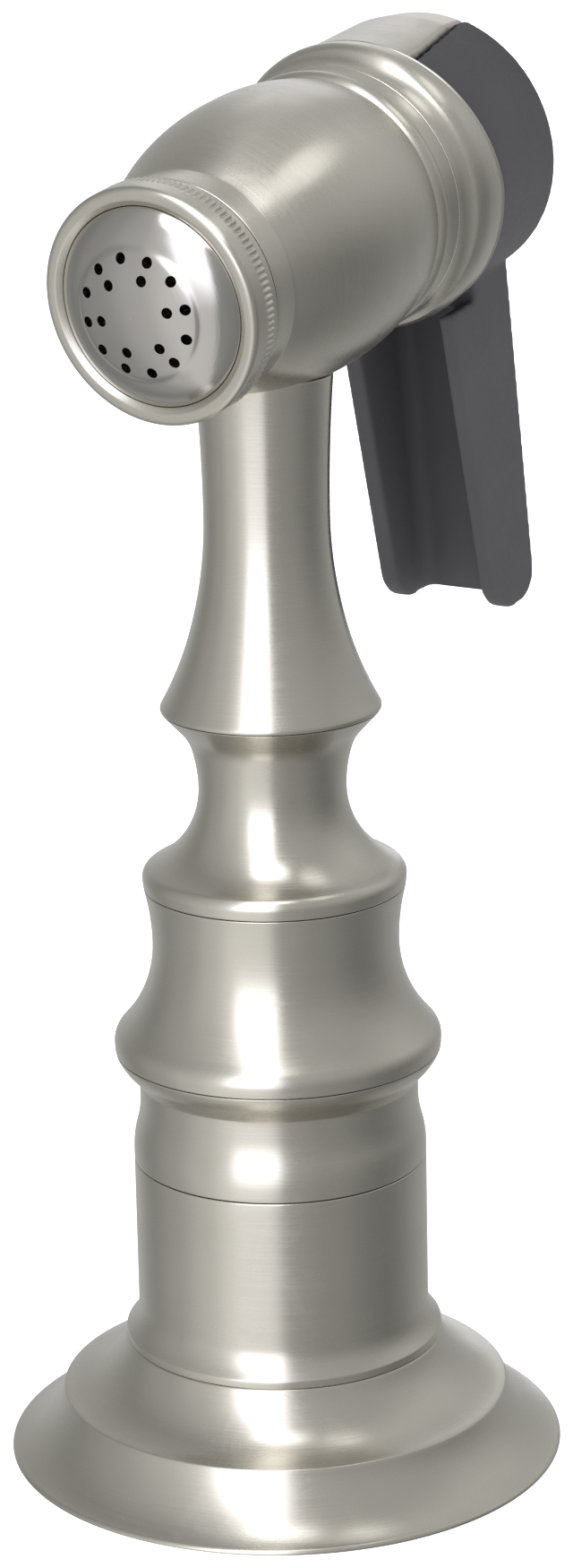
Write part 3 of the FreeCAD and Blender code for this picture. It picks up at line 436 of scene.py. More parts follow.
def turning_lines():
    """Fine rings left by turning and brushing round the Z axis of the vector it is given.

    The noise runs slowly round the axis and fast along it and outwards, so it draws rings.
    """
    tree, given, out = group(
        "Turning lines",
        [("Vector", "NodeSocketVector", None), ("Lines", "NodeSocketFloat", 5000.0),
         ("Sweep", "NodeSocketFloat", 1.5)],
        [("Height", "NodeSocketFloat"), ("Shade", "NodeSocketFloat")])
    split = node(tree, "ShaderNodeSeparateXYZ")
    tree.links.new(given["Vector"], split.inputs[0])
    x, y, z = split.outputs
    radius = maths(tree, "SQRT", maths(tree, "ADD", product(tree, x, x), product(tree, y, y)))
    off_axis = maths(tree, "MAXIMUM", radius, 0.0001)
    unrolled = node(tree, "ShaderNodeCombineXYZ")
    feed(tree, unrolled.inputs[0], product(tree, maths(tree, "DIVIDE", x, off_axis), given["Sweep"]))
    feed(tree, unrolled.inputs[1], product(tree, maths(tree, "DIVIDE", y, off_axis), given["Sweep"]))
    feed(tree, unrolled.inputs[2], product(tree, z, given["Lines"]))
    rings = noise(tree, unrolled.outputs[0], 1.0, 3.0, roughness=0.65,
                  extra=product(tree, radius, given["Lines"]))
    tree.links.new(rings, out["Height"])
    tree.links.new(noise(tree, given["Vector"], 90.0, 4.0), out["Shade"])
    return tree


RUBBED = rubbed_patches()
TURNING = turning_lines()


def worn_roughness(tree, vector, roughness, amount):
    """The roughness changed by that amount where the piece is rubbed."""
    wear = shared_effect(tree, RUBBED, vector).outputs["Wear"]
    return maths(tree, "ADD", roughness, product(tree, wear, amount))


def own_frame(tree, place):
    """Object coordinates turned so that Z runs along the piece's own axis."""
    coordinates = node(tree, "ShaderNodeTexCoord").outputs["Object"]
    if place is UPRIGHT:
        return coordinates
    origin, side, up, axis = place
    mapping = node(tree, "ShaderNodeMapping", vector_type="TEXTURE")
    mapping.inputs["Location"].default_value = Vector(origin)
    mapping.inputs["Rotation"].default_value = Matrix([side, up, axis]).transposed().to_euler()
    tree.links.new(coordinates, mapping.inputs["Vector"])
    return mapping.outputs[0]


def turned_metal(name, light, dark, rough, place=UPRIGHT, stretch=0.55):
    """Turned and brushed metal: rings round the axis, a cloudy tone, and a highlight drawn
    out along the axis."""
    material, tree, shader = new_material(name)
    vector = own_frame(tree, place)
    lines = shared_effect(tree, TURNING, vector).outputs
    feed(tree, shader.inputs["Base Color"], blended(tree, lines["Shade"], dark, light))
    brushed = spread(tree, lines["Height"], rough - 0.03, rough + 0.04)
    feed(tree, shader.inputs["Roughness"], worn_roughness(tree, vector, brushed, 0.05))
    bumped(tree, shader, lines["Height"], strength=0.35, depth=0.00002)
    shader.inputs["Metallic"].default_value = 1.0
    shader.inputs["Anisotropic"].default_value = stretch
    axis = node(tree, "ShaderNodeCombineXYZ")
    for socket, share in zip(axis.inputs, place[3]):
        socket.default_value = share
    turn = node(tree, "ShaderNodeVectorTransform", vector_type="VECTOR",
                convert_from="OBJECT", convert_to="WORLD")
    tree.links.new(axis.outputs[0], turn.inputs[0])
    tree.links.new(turn.outputs[0], shader.inputs["Tangent"])
    return material


def moulded(name, light, dark, rough, shine=0.5):
    """Moulded plastic or rubber: a fine even grain, a faint cloudiness and polished wear."""
    material, tree, shader = new_material(name)
    vector = node(tree, "ShaderNodeTexCoord").outputs["Object"]
    grain = noise(tree, vector, 2500.0, 2.0)
    cloud = noise(tree, vector, 120.0, 5.0)
    feed(tree, shader.inputs["Base Color"], blended(tree, cloud, dark, light))
    grainy = spread(tree, grain, rough - 0.05, rough + 0.05)
    feed(tree, shader.inputs["Roughness"], worn_roughness(tree, vector, grainy, -0.06))
    shader.inputs["Specular IOR Level"].default_value = shine
    bumped(tree, shader, grain, strength=0.5, depth=0.00004)
    return material


NICKEL = ((0.66, 0.635, 0.57, 1), (0.56, 0.54, 0.475, 1))
FACE_NICKEL = ((0.54, 0.52, 0.49, 1), (0.46, 0.445, 0.42, 1))
BRASS = ((0.78, 0.58, 0.30, 1), (0.62, 0.45, 0.21, 1))
STEEL = ((0.62, 0.62, 0.62, 1), (0.5, 0.5, 0.5, 1))
CHARCOAL = ((0.080, 0.079, 0.085, 1), (0.064, 0.063, 0.068, 1))
ACETAL = ((0.78, 0.77, 0.72, 1), (0.70, 0.69, 0.64, 1))
RUBBER = ((0.035, 0.035, 0.035, 1), (0.02, 0.02, 0.02, 1))

nickel_upright = turned_metal("nickel_turned", *NICKEL, 0.25)
nickel_head = turned_metal("nickel_head", *NICKEL, 0.27, ALONG_HEAD)
nickel_face = turned_metal("nickel_face", *FACE_NICKEL, 0.14, ALONG_HEAD, stretch=0.1)
brass = turned_metal("machined_brass", *BRASS, 0.26)
steel = turned_metal("bright_steel", *STEEL, 0.22, ALONG_HEAD)
charcoal = moulded("charcoal_plastic", *CHARCOAL, 0.58, shine=0.16)
acetal = moulded("white_acetal", *ACETAL, 0.42)
rubber = moulded("black_rubber", *RUBBER, 0.62)

FINISH = {"nickel": nickel_upright, "face_nickel": nickel_face, "raw_brass": brass,
          "spring_steel": steel, "charcoal_plastic": charcoal, "bush_plastic": acetal,
          "gasket_rubber": rubber}
NICKEL_HEAD_PIECES = ("barrel", "hinge_collar", "face_cap")

for entry in record["subparts"]:
    finish = nickel_head if entry["node"] in NICKEL_HEAD_PIECES else FINISH[entry["material_slot"]]
    for slot in nodes[entry["node"]].material_slots:
        slot.material = finish


# ---------------------------------------------------------------- turned holder and handle
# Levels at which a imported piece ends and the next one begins.
FLANGE_TOP = levels("deck_flange")[1]
HUB_FOOT = levels("holder_sleeve")[0]
CUP_TOP = levels("lower_cup")[1]
BELL_FOOT, BELL_TOP = levels("handle_bell")
WAIST_FOOT, WAIST_TOP = levels("handle_waist")
TRUMPET_FOOT, TRUMPET_TOP = levels("handle_trumpet")
# The hairline seam between the standing sleeve and the cup that turns on it.
SLEEVE_TOP = 33.03
CUP_FOOT = 33.1
# Radii that neighbours share.
SHANK_BORE = 10.5
HUB_RADIUS = 13.1
HUB_BORE = 13.15
SLEEVE_FOOT_RADIUS = 17.1
SLEEVE_RADIUS = 15.7
BELL_RADIUS = 17.4
WAIST_RADIUS = 13.9
TUBE_BORE = 5.05

# Underneath a pocket for the gasket; above, a flared rim, a crease and a hollow cone.
turned("deck_flange", [
    line(SHANK_BORE, 0), line(14.0, 0), line(14.0, 1.6), line(26.0, 1.6), line(26.0, 0), line(30.0, 0),
    line(30.0, 0.15), bend(29.55, 0.6, 0.45, 1), bend(24.1, 6.85, 10.3, -1),
    bend(SLEEVE_FOOT_RADIUS, FLANGE_TOP, 9.2, -1), line(HUB_BORE, FLANGE_TOP), line(HUB_BORE, HUB_FOOT),
    line(SHANK_BORE, HUB_FOOT),
], nickel_upright, "holder", soft=0.13, count=200, around=256)

# A hub screwed into the flange, a small flared foot and a straight wall.
turned("holder_sleeve", [
    line(11.0, HUB_FOOT), line(HUB_RADIUS, HUB_FOOT), line(HUB_RADIUS, FLANGE_TOP),
    line(SLEEVE_FOOT_RADIUS, FLANGE_TOP), line(SLEEVE_FOOT_RADIUS, 13.65),
    bend(SLEEVE_RADIUS, 16.78, 4.2, -1), line(SLEEVE_RADIUS, SLEEVE_TOP), line(13.0, SLEEVE_TOP),
    line(13.0, 14.25), line(11.0, 14.25),
], nickel_upright, "holder")

# A straight lip, an ogee in to the neck, and a flare out to the bell's rim.
turned("lower_cup", [
    line(9.05, CUP_FOOT), line(SLEEVE_RADIUS, CUP_FOOT), line(SLEEVE_RADIUS, 34.15),
    *ogee((SLEEVE_RADIUS, 34.15), (14.9, 39.75)), line(14.9, 41.75), line(SLEEVE_RADIUS, 42.75),
    bend(BELL_RADIUS, CUP_TOP, 6.0, 1), line(11.95, CUP_TOP), line(11.95, 42.35), line(9.05, 42.35),
], nickel_upright, "spray")

# A rounded rim, then one long hollow up to the waist's rim.
turned("handle_bell", [
    line(8.05, BELL_FOOT), line(BELL_RADIUS, BELL_FOOT), line(17.45, 46.3), bend(16.75, 47.8, 2.2, 1),
    *hollow((16.75, 47.8), (13.1, 57.0), (WAIST_RADIUS, BELL_TOP)), line(TUBE_BORE, BELL_TOP),
    line(TUBE_BORE, 54.15), line(8.05, 54.15),
], nickel_upright, "spray")

# A rounded rim, a deep hollow, and a flare out to the thin ring.
turned("handle_waist", [
    line(TUBE_BORE, WAIST_FOOT), line(WAIST_RADIUS, WAIST_FOOT), line(14.0, 64.3),
    bend(13.2, 65.5, 1.4, 1), *hollow((13.2, 65.5), (7.8, 73.9), (8.5, 78.4)),
    bend(9.6, 80.2, 5.1, -1), line(11.55, WAIST_TOP), line(TUBE_BORE, WAIST_TOP),
], nickel_upright, "spray")

# The thin ring, then a trumpet that closes to the neck and opens a little under the head.
turned("handle_trumpet", [
    line(TUBE_BORE, TRUMPET_FOOT), line(11.6, TRUMPET_FOOT), line(11.6, 82.75),
    bend(8.6, 89.6, 36.0, -1), *hollow((8.6, 89.6), (6.55, 103.0), (7.15, TRUMPET_TOP)),
    line(TUBE_BORE, TRUMPET_TOP),
], nickel_upright, "spray")


# ---------------------------------------------------------------- turned head
# A nose for the cap, a swelling body, a step down to a groove, and a flared rear bead.
turned("barrel", head_path([
    line(-17.9, 9.6), line(-17.9, 10.9), line(-15.6, 10.9), line(-15.6, 11.4), line(-12.4, 11.4),
    bend(2.4, 15.0, level_bend(14.8, 3.6), -1), line(4.0, 15.0),
    bend(12.3, 13.75, level_bend(8.3, 1.25), -1), line(12.35, 13.6), bend(14.35, 13.85, 1.25, -1),
    line(14.5, 13.6), bend(16.4, 13.95, level_bend(1.9, 0.35), 1), line(16.4, 11.6),
    line(-8.5, 11.6), line(-8.5, 9.6),
]), nickel_head, "spray", ALONG_HEAD, soft=0.1, count=220, around=256)

COLLAR_END = 24.0
COLLAR_LEAN = 2.3
COLLAR_LEAN_START = 18.5    # station where the lean begins


def collar_lean(radius, station, angle):
    """The collar's rear edge leans forward over its top half, towards the lug.

    The lean grows evenly with the station, and with the cosine of the angle from the top.
    """
    share = np.clip((station - COLLAR_LEAN_START) / (COLLAR_END - COLLAR_LEAN_START), 0, 1)
    return -COLLAR_LEAN * np.clip(np.cos(angle), 0, 1) * share


# An ogee up to a broad band with a small bead on its rear edge.
turned("hinge_collar", head_path([
    line(16.45, 6.0), line(16.45, 13.97), bend(18.5, 14.95, 2.6, 1), bend(20.6, 15.5, 4.3, -1),
    bend(23.3, 15.25, 15.0, -1), line(23.3, 15.1), bend(23.9, 15.1, 0.32, -1), line(23.9, 14.95),
    line(18.9, 14.95), line(18.9, 6.0),
]), nickel_head, "spray", ALONG_HEAD, soft=0.09, count=160, around=256, lean=collar_lean)

TEETH = 112
TOOTH_DEPTH = 0.24
TOOTH_HALF_WIDTH = 0.26
COIN_FRONT = -18.95
COIN_BACK = -17.4
COIN_RUN_OUT = 0.15         # over this length the grooves reach their full depth
COIN_FLOOR = 11.9           # only the skin outside this radius is grooved
AROUND_CAP = 8 * TEETH      # points round the cap


def coin_edge(radius, station, angle):
    """V grooves along the cap's back rim: how far the skin is pushed in there.

    Each groove is deepest at its middle, shallows evenly to both sides, and runs out in front.
    """
    grooved = np.clip((station - COIN_FRONT) / COIN_RUN_OUT, 0, 1) * (station < COIN_BACK)
    pitch = 2 * math.pi / TEETH
    offset = np.abs((angle + pitch / 2) % pitch - pitch / 2) * radius
    return -TOOTH_DEPTH * grooved * (radius > COIN_FLOOR) * np.clip(1 - offset / TOOTH_HALF_WIDTH, 0, 1)


# A short tube with a rounded front edge and a lip that holds the plate.
turned("face_cap", head_path([
    line(-15.9, 10.95), line(-15.9, 11.5), line(-17.5, 11.5), line(-17.5, 12.2), line(-20.55, 12.2),
    bend(-21.2, 11.55, 0.65, 1), line(-21.2, 10.9), line(-20.75, 10.26), line(-19.9, 10.26),
    line(-19.9, 10.95),
]), nickel_head, "spray", ALONG_HEAD, soft=0.07, count=104, around=AROUND_CAP, swell=coin_edge)


# ---------------------------------------------------------------- hinge lug
CUP_BACK = 37.0             # station of the lever cup's back, which the lug is level with
LUG_FRONT = 19.5
LUG_BACK = 36.9
LUG_HALF_WIDTH = 6.3
LUG_TAPER = 1.6
LUG_CROWN = 15.15
LUG_FALL_START = 32.0242    # the crown falls from this station on
LUG_FALL = 0.1655           # by this much for each millimetre
LUG_EDGE_RUN = 0.7          # the rear edge is eased over this length
LUG_EDGE_DROP = 0.5
LUG_UNDERSIDE = 12.75
LUG_BLOCK_LOW = 8.6
LUG_BLOCK_HIGH = 13.2
LUG_BLOCK_HALF = 3.7


def lug_half_width(station):
    """The lug narrows evenly from the collar's rear edge to the cup's back."""
    return LUG_HALF_WIDTH - LUG_TAPER * np.clip((station - COLLAR_END) / (CUP_BACK - COLLAR_END), 0, 1)


def lug_crown(station):
    """Radius of the lug's rounded top.

    It is proud of the lever's cup, falls evenly towards the back, and is eased over the rear
    edge by a square.
    """
    fall = LUG_FALL * np.maximum(station - LUG_FALL_START, 0)
    over_edge = np.clip((station - (LUG_BACK - LUG_EDGE_RUN)) / LUG_EDGE_RUN, 0, 1)
    return LUG_CROWN - fall - LUG_EDGE_DROP * over_edge ** 2


def hinge_lug():
    """A broad crowned saddle over the pin, on a narrower block that stands between the ears.

    The saddle's rows are stations and its columns go across: rise = root(crown^2 - side^2).
    """
    station = np.linspace(LUG_FRONT, LUG_BACK, 81)[:, None]
    side = np.linspace(-1, 1, 41)[None, :] * lug_half_width(station)
    saddle = thick_sheet(in_head(side, np.sqrt(lug_crown(station) ** 2 - side ** 2), station),
                         in_head(side, LUG_UNDERSIDE, station))
    block = prism([(LUG_FRONT, LUG_BLOCK_LOW), (LUG_BACK, LUG_BLOCK_LOW), (LUG_BACK, LUG_BLOCK_HIGH),
                   (LUG_FRONT, LUG_BLOCK_HIGH)], -LUG_BLOCK_HALF, LUG_BLOCK_HALF)
    mesh = moulded_as_one("hinge_lug", [saddle, block], grain=0.24, rounds=6)
    finished("hinge_lug", mesh, nickel_head, "spray")


hinge_lug()


# ---------------------------------------------------------------- lever
CUP_RADIUS = 14.65
CUP_WALL = 1.3
CUP_CROWN = 0.75
CUP_RIM = 36.3              # station where the wall meets the crowned back
CUP_GAP = 0.45              # between the collar's rear edge and the cup's front one
CUP_TUCK = 0.7              # how far the front edge is tucked under the collar below
SLOT_FRONT = 22.0           # station where the slot for the lug opens
SLOT_GAP = 0.12
SLOT_FLOOR = 8.0
BACK_INSIDE = 34.8          # station of the inside of the back, of the cup and the tongue
TONGUE_HALF = 7.45
TONGUE_END = -51.3
TONGUE_BACK = 36.97
FRONT_STATION = 25.2        # the flanges' front line passes this station at this rise
FRONT_RISE = -20.5
FRONT_SLOPE = 2.9 / 26.6
FLANGE_WALL = 2.2
WEB_TOP = -12.0
WEB_FILLET = 1.8
TOE_RADIUS = 3.8
HEEL_RADIUS = 3.2
RELIEF_RADIUS = 16.5        # of the arc that clears the collar
EAR_INSIDE = 4.05
EAR_OUTSIDE = 6.65
BOSS_RADIUS = 3.0
BOSS_POINTS = 48


def cup_front(angle):
    """The cup's front edge follows the collar's leaning one above, and is tucked in below."""
    top = np.clip(np.cos(angle), 0, 1)
    return COLLAR_END + CUP_GAP - COLLAR_LEAN * top - CUP_TUCK * np.clip(-np.cos(angle), 0, 1)


def cup_wall():
    """Cylinder wall round the head's axis, from one side of the lug's slot to the other.

    Rows go from the front edge back to the rim, and columns by equal angles round the axis.
    """
    share = np.linspace(0, 1, 41)[:, None]
    slot_half = lug_half_width(SLOT_FRONT + share * (CUP_RIM - SLOT_FRONT)) + SLOT_GAP
    start = np.arcsin(slot_half / CUP_RADIUS)
    angle = start + np.linspace(0, 1, 241)[None, :] * (2 * math.pi - 2 * start)
    station = cup_front(angle) + share * (CUP_RIM - cup_front(angle))

    def shell(radius):
        """The wall's grid of points at that radius."""
        return in_head(radius * np.sin(angle), radius * np.cos(angle), station)

    return thick_sheet(shell(CUP_RADIUS), shell(CUP_RADIUS - CUP_WALL))


def cup_back(low, high, left, right):
    """Part of the crowned back: rows of rise from low to high, across from left to right.

    left and right give the two sides from the cup's half width at each rise. The crown falls
    with the square of the distance from the axis, then turns over the rim in a quarter circle
    as wide as the wall.
    """
    rise = np.linspace(low, high, 97)[:, None]
    limit = np.sqrt(CUP_RADIUS ** 2 - rise ** 2)
    side = left(limit) + np.linspace(0, 1, 97)[None, :] * (right(limit) - left(limit))
    reach = np.minimum(np.hypot(side, rise), CUP_RADIUS)
    flat = CUP_RADIUS - CUP_WALL
    crown = CUP_CROWN * (1 - np.minimum(reach / flat, 1) ** 2)
    over = CUP_WALL - np.sqrt(np.maximum(CUP_WALL ** 2 - np.maximum(reach - flat, 0) ** 2, 0))
    return thick_sheet(in_head(side, rise, CUP_BACK + crown - over), in_head(side, rise, BACK_INSIDE))


def rounded(rise, radius):
    """How far a rounded lower corner has drawn in at that rise."""
    into = np.clip(TONGUE_END + radius - rise, 0, radius)
    return radius - np.sqrt(radius ** 2 - into ** 2)


def tongue_front(rise):
    """Front line of the flanges: it slopes back downwards and is drawn in round the toe."""
    return FRONT_STATION - (rise - FRONT_RISE) * FRONT_SLOPE + rounded(rise, TOE_RADIUS)


def tongue_back(rise):
    """Back line of the tongue, drawn in round the heel."""
    return TONGUE_BACK - rounded(rise, HEEL_RADIUS)


def flange(hand):
    """One side flange of the tongue.

    Rows go down from the arc that clears the collar to the tongue's end, and columns from
    the front line to the back one.
    """
    down = np.linspace(0, 1, 181)[:, None]

    def wall(side):
        """The flange's grid of points at that distance from the middle."""
        rise = -math.sqrt(RELIEF_RADIUS ** 2 - side ** 2) * (1 - down) + (TONGUE_END + 0.02) * down
        span = tongue_back(rise) - tongue_front(rise)
        return in_head(hand * side, rise, tongue_front(rise) + np.linspace(0, 1, 41)[None, :] * span)

    return thick_sheet(wall(TONGUE_HALF), wall(TONGUE_HALF - FLANGE_WALL))


def web():
    """The tongue's back: flat between the flanges, with a round fillet into each of them.

    Rows go down by rise and columns across; the inside is thinned to a skin round the heel.
    """
    rise = np.linspace(WEB_TOP, TONGUE_END + 0.1, 181)[:, None]
    side = TONGUE_HALF * np.linspace(-1, 1, 81)[None, :]
    near = np.clip(np.abs(side) - (TONGUE_HALF - FLANGE_WALL - WEB_FILLET), 0, WEB_FILLET)
    fillet = WEB_FILLET - np.sqrt(WEB_FILLET ** 2 - near ** 2)
    inside = np.minimum(BACK_INSIDE - fillet, tongue_back(rise) - 0.05)
    return thick_sheet(in_head(side, rise, tongue_back(rise)), in_head(side, rise, inside))


def push_boss():
    """Rounded stud inside the cup that presses on the valve's stem, carried round the axis."""
    outline = traced(head_path([
        line(35.3, 0.01), line(35.3, BOSS_RADIUS), line(32.9, BOSS_RADIUS),
        bend(31.4, 0.01, level_bend(BOSS_RADIUS, 1.5), 1)]))
    return carried_round(placed_along(outline, step_lengths(outline), BOSS_POINTS), ALONG_HEAD, BOSS_POINTS)


def lever():
    """Moulded cup with a channel-shaped tongue, hinge ears and a push boss."""
    slot = lug_half_width(CUP_BACK) + SLOT_GAP
    shoulder = math.sqrt(CUP_RADIUS ** 2 - slot ** 2)
    # Side outlines: the thick root where the tongue meets the cup, and an ear beside the lug.
    root = [(28.9, -15.3), (29.4, -14.0), (29.4, -9.6), (36.6, -9.6), (36.97, -15.9), (28.4, -15.9)]
    ear = [(25.8, 9.2), (36.0, 9.2), (36.0, 12.0), (25.8, 12.0)]
    solids = [
        cup_wall(),
        cup_back(-CUP_RADIUS, SLOT_FLOOR + 0.25, lambda limit: -limit, lambda limit: limit),
        cup_back(SLOT_FLOOR, shoulder, lambda limit: slot, lambda limit: limit),
        cup_back(SLOT_FLOOR, shoulder, lambda limit: -limit, lambda limit: -slot),
        flange(1), flange(-1), web(), push_boss(), prism(root, -TONGUE_HALF, TONGUE_HALF),
        prism(ear, EAR_INSIDE, EAR_OUTSIDE), prism(ear, -EAR_OUTSIDE, -EAR_INSIDE),
    ]
    mesh = moulded_as_one("lever_skin", solids, grain=0.3, rounds=7)
    finished("lever_skin", mesh, charcoal, "lever", ("lever",))


lever()


# ---------------------------------------------------------------- spray plate
HOLE_RINGS = ((5.85, 12), (3.95, 6))    # (radius, number of holes) of each ring
HOLE_RADIUS = 0.56
HOLE_TURN = math.radians(20)
DRILL_FROM = -26.0
DRILL_TO = -17.0
DRILL_SIDES = 32
SHARP_EDGE = math.radians(40)           # an edge that turns by more than this stays crisp


def drills():
    """Rods on the two rings of spray holes: each a circle carried along the head's axis."""
    turn = np.linspace(0, 2 * math.pi, DRILL_SIDES, endpoint=False)
    near = np.arange(DRILL_SIDES)
    walls = np.stack([near, near + DRILL_SIDES, np.roll(near, -1) + DRILL_SIDES, np.roll(near, -1)], -1)
    faces = [near.tolist(), (near[::-1] + DRILL_SIDES).tolist()] + walls.tolist()
    rods = []
    for ring, count in HOLE_RINGS:
        for spot in HOLE_TURN + np.arange(count) * 2 * math.pi / count:
            side = ring * math.sin(spot) + HOLE_RADIUS * np.cos(turn)
            rise = ring * math.cos(spot) + HOLE_RADIUS * np.sin(turn)
            ends = [in_head(side, rise, DRILL_FROM), in_head(side, rise, DRILL_TO)]
            rods.append((np.concatenate(ends), faces))
    return bpy.data.objects.new("drills", mesh_from("drills", *joined(rods)))


def spray_plate():
    """Plate with a domed disc, a shallow groove and a rounded shoulder, drilled through."""
    outline = softened(head_path([
        line(-18.65, 9.05), line(-18.65, 10.9), line(-19.85, 10.9), line(-19.85, 10.22),
        line(-20.75, 10.22), bend(-22.73, 7.3, 7.3, 1), bend(-23.02, 6.75, 1.79, -1),
        bend(-23.3, 6.2, 1.65, 1), bend(-24.2, 0.02, level_bend(6.18, 0.9), 1), line(-23.0, 0.02),
        bend(-19.85, 9.05, 14.5, -1),
    ]), soft=0.06, count=160)
    points, faces = carried_round(outline, ALONG_HEAD, 192)
    blank = bpy.data.objects.new("plate_blank", mesh_from("plate_blank", points, faces))
    tool = drills()
    bpy.context.scene.collection.objects.link(tool)
    cut = blank.modifiers.new("drill", "BOOLEAN")
    cut.operation = "DIFFERENCE"
    cut.solver = "EXACT"
    cut.object = tool
    mesh = settled(blank, "spray_plate_skin")
    bpy.data.objects.remove(tool)
    finished("spray_plate_skin", mesh, nickel_face, "spray", ("spray_plate",))
    mesh.set_sharp_from_angle(angle=SHARP_EDGE)


spray_plate()


# ---------------------------------------------------------------- floor
FLOOR_HALF = 9.0            # metres


def floor():
    """A wide pale floor: one square at the deck's level, unseen in reflections."""
    corner = FLOOR_HALF * np.array([[-1, -1, 0], [1, -1, 0], [1, 1, 0], [-1, 1, 0]])
    mesh = mesh_from("floor", corner, [(0, 1, 2, 3)])
    material, tree, shader = new_material("white_floor")
    shader.inputs["Base Color"].default_value = (0.92, 0.92, 0.92, 1)
    shader.inputs["Roughness"].default_value = 0.9
    shader.inputs["Emission Color"].default_value = (1, 1, 1, 1)
    shader.inputs["Emission Strength"].default_value = 1.0
    mesh.materials.append(material)
    thing = bpy.data.objects.new("floor", mesh)
    bpy.context.scene.collection.objects.link(thing)
    thing.visible_glossy = False
    thing.visible_shadow = False


# ---------------------------------------------------------------- studio light
# Azimuths are 0 in front of the spray face and grow towards +X; heights are above the horizon.
# The brightness of the walls, and of the table below them, is given by (azimuth, value) stops.
WALL_TONES = [(-180, 0.55), (-150, 0.62), (-125, 0.42), (-90, 0.32), (-60, 0.46), (-30, 0.62), (-8, 0.92),
              (26, 0.86), (42, 0.52), (60, 0.50), (100, 0.48), (150, 0.62), (180, 0.55)]
TABLE_TONES = [(-180, 0.42), (-150, 0.55), (-125, 0.52), (-90, 0.34), (-60, 0.46), (-30, 0.70),
               (-10, 0.95), (22, 0.90), (36, 0.42), (70, 0.34), (120, 0.22), (180, 0.42)]
TABLE_TO_WALL = (-12.0, 34.0)
# Edges of the soft lights: the azimuth or height where each is still dark, and where it is full.
CEILING_EDGE = (66.0, 80.0)
CEILING_LEFT = (-170.0, -130.0)
CEILING_RIGHT = (75.0, 40.0)
CEILING_POWER = 0.14
KEY_LIGHT = {"left": (-11.0, 1.0), "right": (33.5, 31.0), "bottom": (-24.0, 8.0), "top": (90.0, 60.0),
             "power": 1.6}
BACK_LIGHT = {"left": (-168.0, -160.0), "right": (-138.0, -146.0), "bottom": (-14.0, 2.0),
              "top": (46.0, 34.0), "power": 0.4}
LIGHT_TINT = (1.0, 1.0, 1.12)


def ring_of_tones(tree, share, stops):
    """A brightness that follows (azimuth, value) stops as the share of a turn goes from 0 to 1."""
    made = node(tree, "ShaderNodeValToRGB")
    made.color_ramp.interpolation = "EASE"
    while len(made.color_ramp.elements) < len(stops):
        made.color_ramp.elements.new(0.5)
    for element, (azimuth, value) in zip(made.color_ramp.elements, stops):
        element.position = azimuth / 360 + 0.5
        element.color = (value, value, value, 1)
    tree.links.new(share, made.inputs[0])
    return made.outputs[0]


def edge(tree, value, dark, bright):
    """0 on the dark side, 1 on the bright one, and a smooth step between."""
    run = node(tree, "ShaderNodeMapRange", interpolation_type="SMOOTHSTEP")
    tree.links.new(value, run.inputs["Value"])
    run.inputs["From Min"].default_value = dark
    run.inputs["From Max"].default_value = bright
    return run.outputs[0]


def softbox(tree, azimuth, height, left, right, bottom, top, power):
    """A rectangular light with soft edges."""
    return product(tree, edge(tree, azimuth, *left), edge(tree, azimuth, *right),
                   edge(tree, height, *bottom), edge(tree, height, *top), power)


def surroundings():
    """The studio as the metal sees it; the camera itself sees plain white."""
    world = bpy.data.worlds.new("studio")
    bpy.context.scene.world = world
    world.use_nodes = True
    tree = world.node_tree
    split = node(tree, "ShaderNodeSeparateXYZ")
    tree.links.new(node(tree, "ShaderNodeTexCoord").outputs["Generated"], split.inputs[0])
    x, y, z = split.outputs
    compass = maths(tree, "ARCTAN2", x, product(tree, y, -1.0))
    share = maths(tree, "ADD", maths(tree, "DIVIDE", compass, 2 * math.pi), 0.5)
    azimuth = maths(tree, "DEGREES", compass)
    height = maths(tree, "DEGREES", maths(tree, "ARCSINE", z))

    room = blended(tree, edge(tree, height, *TABLE_TO_WALL), ring_of_tones(tree, share, TABLE_TONES),
                   ring_of_tones(tree, share, WALL_TONES))
    front = product(tree, edge(tree, azimuth, *CEILING_LEFT), edge(tree, azimuth, *CEILING_RIGHT))
    ceiling = product(tree, edge(tree, height, *CEILING_EDGE), front, CEILING_POWER)
    boxes = maths(tree, "ADD", softbox(tree, azimuth, height, **KEY_LIGHT),
                  softbox(tree, azimuth, height, **BACK_LIGHT))
    lights = maths(tree, "ADD", boxes, ceiling)
    daylight = node(tree, "ShaderNodeCombineColor")
    for channel, tint in zip(daylight.inputs, LIGHT_TINT):
        tree.links.new(product(tree, lights, tint), channel)
    lit = blended(tree, 1.0, room, daylight.outputs[0], "ADD")
    seen = node(tree, "ShaderNodeLightPath").outputs["Is Camera Ray"]
    shown = blended(tree, seen, lit, (1, 1, 1, 1))
    tree.links.new(shown, tree.nodes["Background"].inputs["Color"])


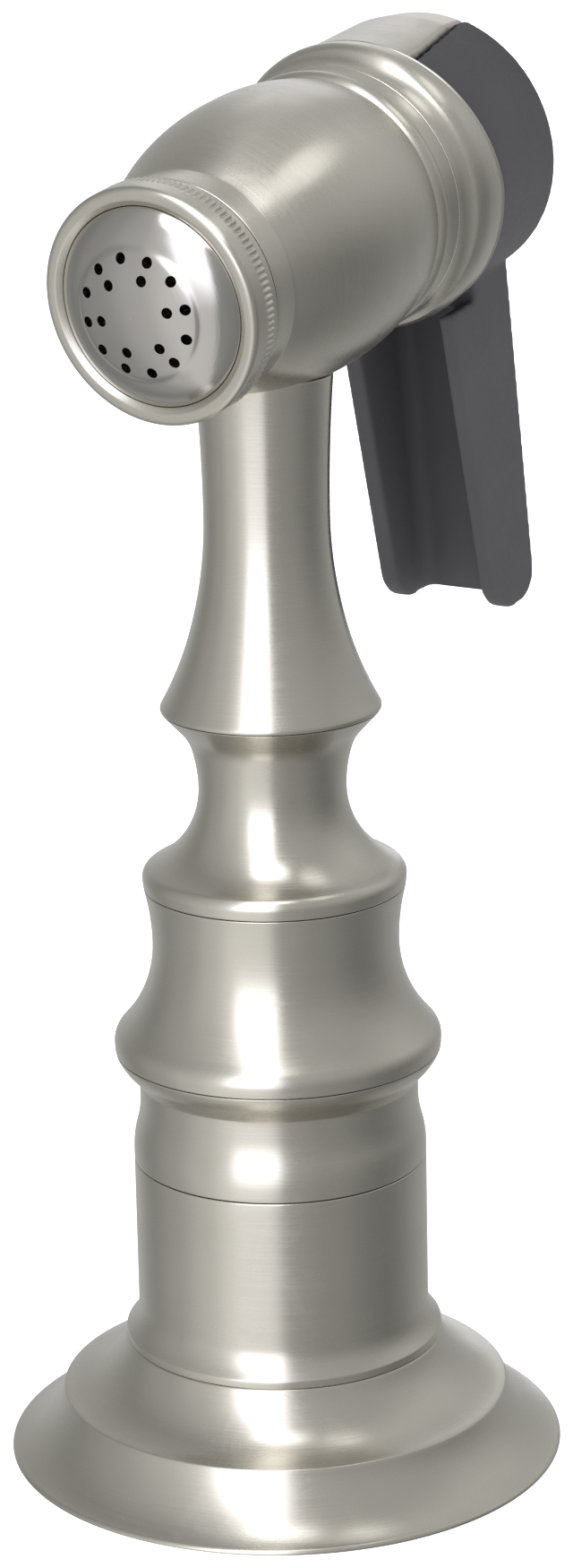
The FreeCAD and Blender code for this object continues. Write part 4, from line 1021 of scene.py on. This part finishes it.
def lamp(name, station, azimuth, height, distance, width, depth, energy):
    """A small soft oval lamp that looks at a station on the head's axis from that distance."""
    light = bpy.data.lights.new(name, "AREA")
    light.shape = "ELLIPSE"
    light.size = width
    light.size_y = depth
    light.energy = energy
    thing = bpy.data.objects.new(name, light)
    azimuth, height = math.radians(azimuth), math.radians(height)
    away = Vector((math.sin(azimuth) * math.cos(height), -math.cos(azimuth) * math.cos(height),
                   math.sin(height)))
    thing.location = Vector(in_head(0.0, 0.0, station)) + distance * away
    thing.rotation_euler = away.to_track_quat("Z", "Y").to_euler()
    bpy.context.scene.collection.objects.link(thing)


# ---------------------------------------------------------------- camera
LENS = 95.6
FILM_HEIGHT = 36.0
CAMERA_AZIMUTH = 31.93
CAMERA_DISTANCE = 0.420
CAMERA_HEIGHT = 0.1933
CAMERA_PITCH = 15.86
CAMERA_YAW = 0.2
CAMERA_ROLL = -1.2


def camera():
    """The viewpoint: a little above the head, to the right of the spray face."""
    data = bpy.data.cameras.new("camera")
    data.sensor_fit = "VERTICAL"
    data.sensor_height = FILM_HEIGHT
    data.lens = LENS
    data.clip_start = 0.01
    data.clip_end = 50.0
    thing = bpy.data.objects.new("camera", data)
    pitch, yaw, roll = (math.radians(angle) for angle in (CAMERA_PITCH, CAMERA_YAW, CAMERA_ROLL))
    ahead = np.array([math.sin(yaw) * math.cos(pitch), math.cos(yaw) * math.cos(pitch), -math.sin(pitch)])
    level = np.array([math.cos(yaw), -math.sin(yaw), 0.0])
    above = np.cross(level, ahead)
    right = level * math.cos(roll) + above * math.sin(roll)
    top = -level * math.sin(roll) + above * math.cos(roll)
    thing.matrix_world = (Matrix.Rotation(math.radians(CAMERA_AZIMUTH), 4, "Z")
                          @ Matrix.Translation((0, -CAMERA_DISTANCE, CAMERA_HEIGHT))
                          @ Matrix([right, top, -ahead]).transposed().to_4x4())
    bpy.context.scene.collection.objects.link(thing)
    bpy.context.scene.camera = thing


floor()
surroundings()
lamp("side_lamp", station=0.0, azimuth=112.0, height=56.0, distance=0.13, width=0.075, depth=0.045,
     energy=0.008)
lamp("face_lamp", station=-22.0, azimuth=38.0, height=58.0, distance=0.055, width=0.064, depth=0.044,
     energy=0.017)
camera()
view_settings = bpy.context.scene.view_settings
view_settings.view_transform = "Standard"
view_settings.look = "None"
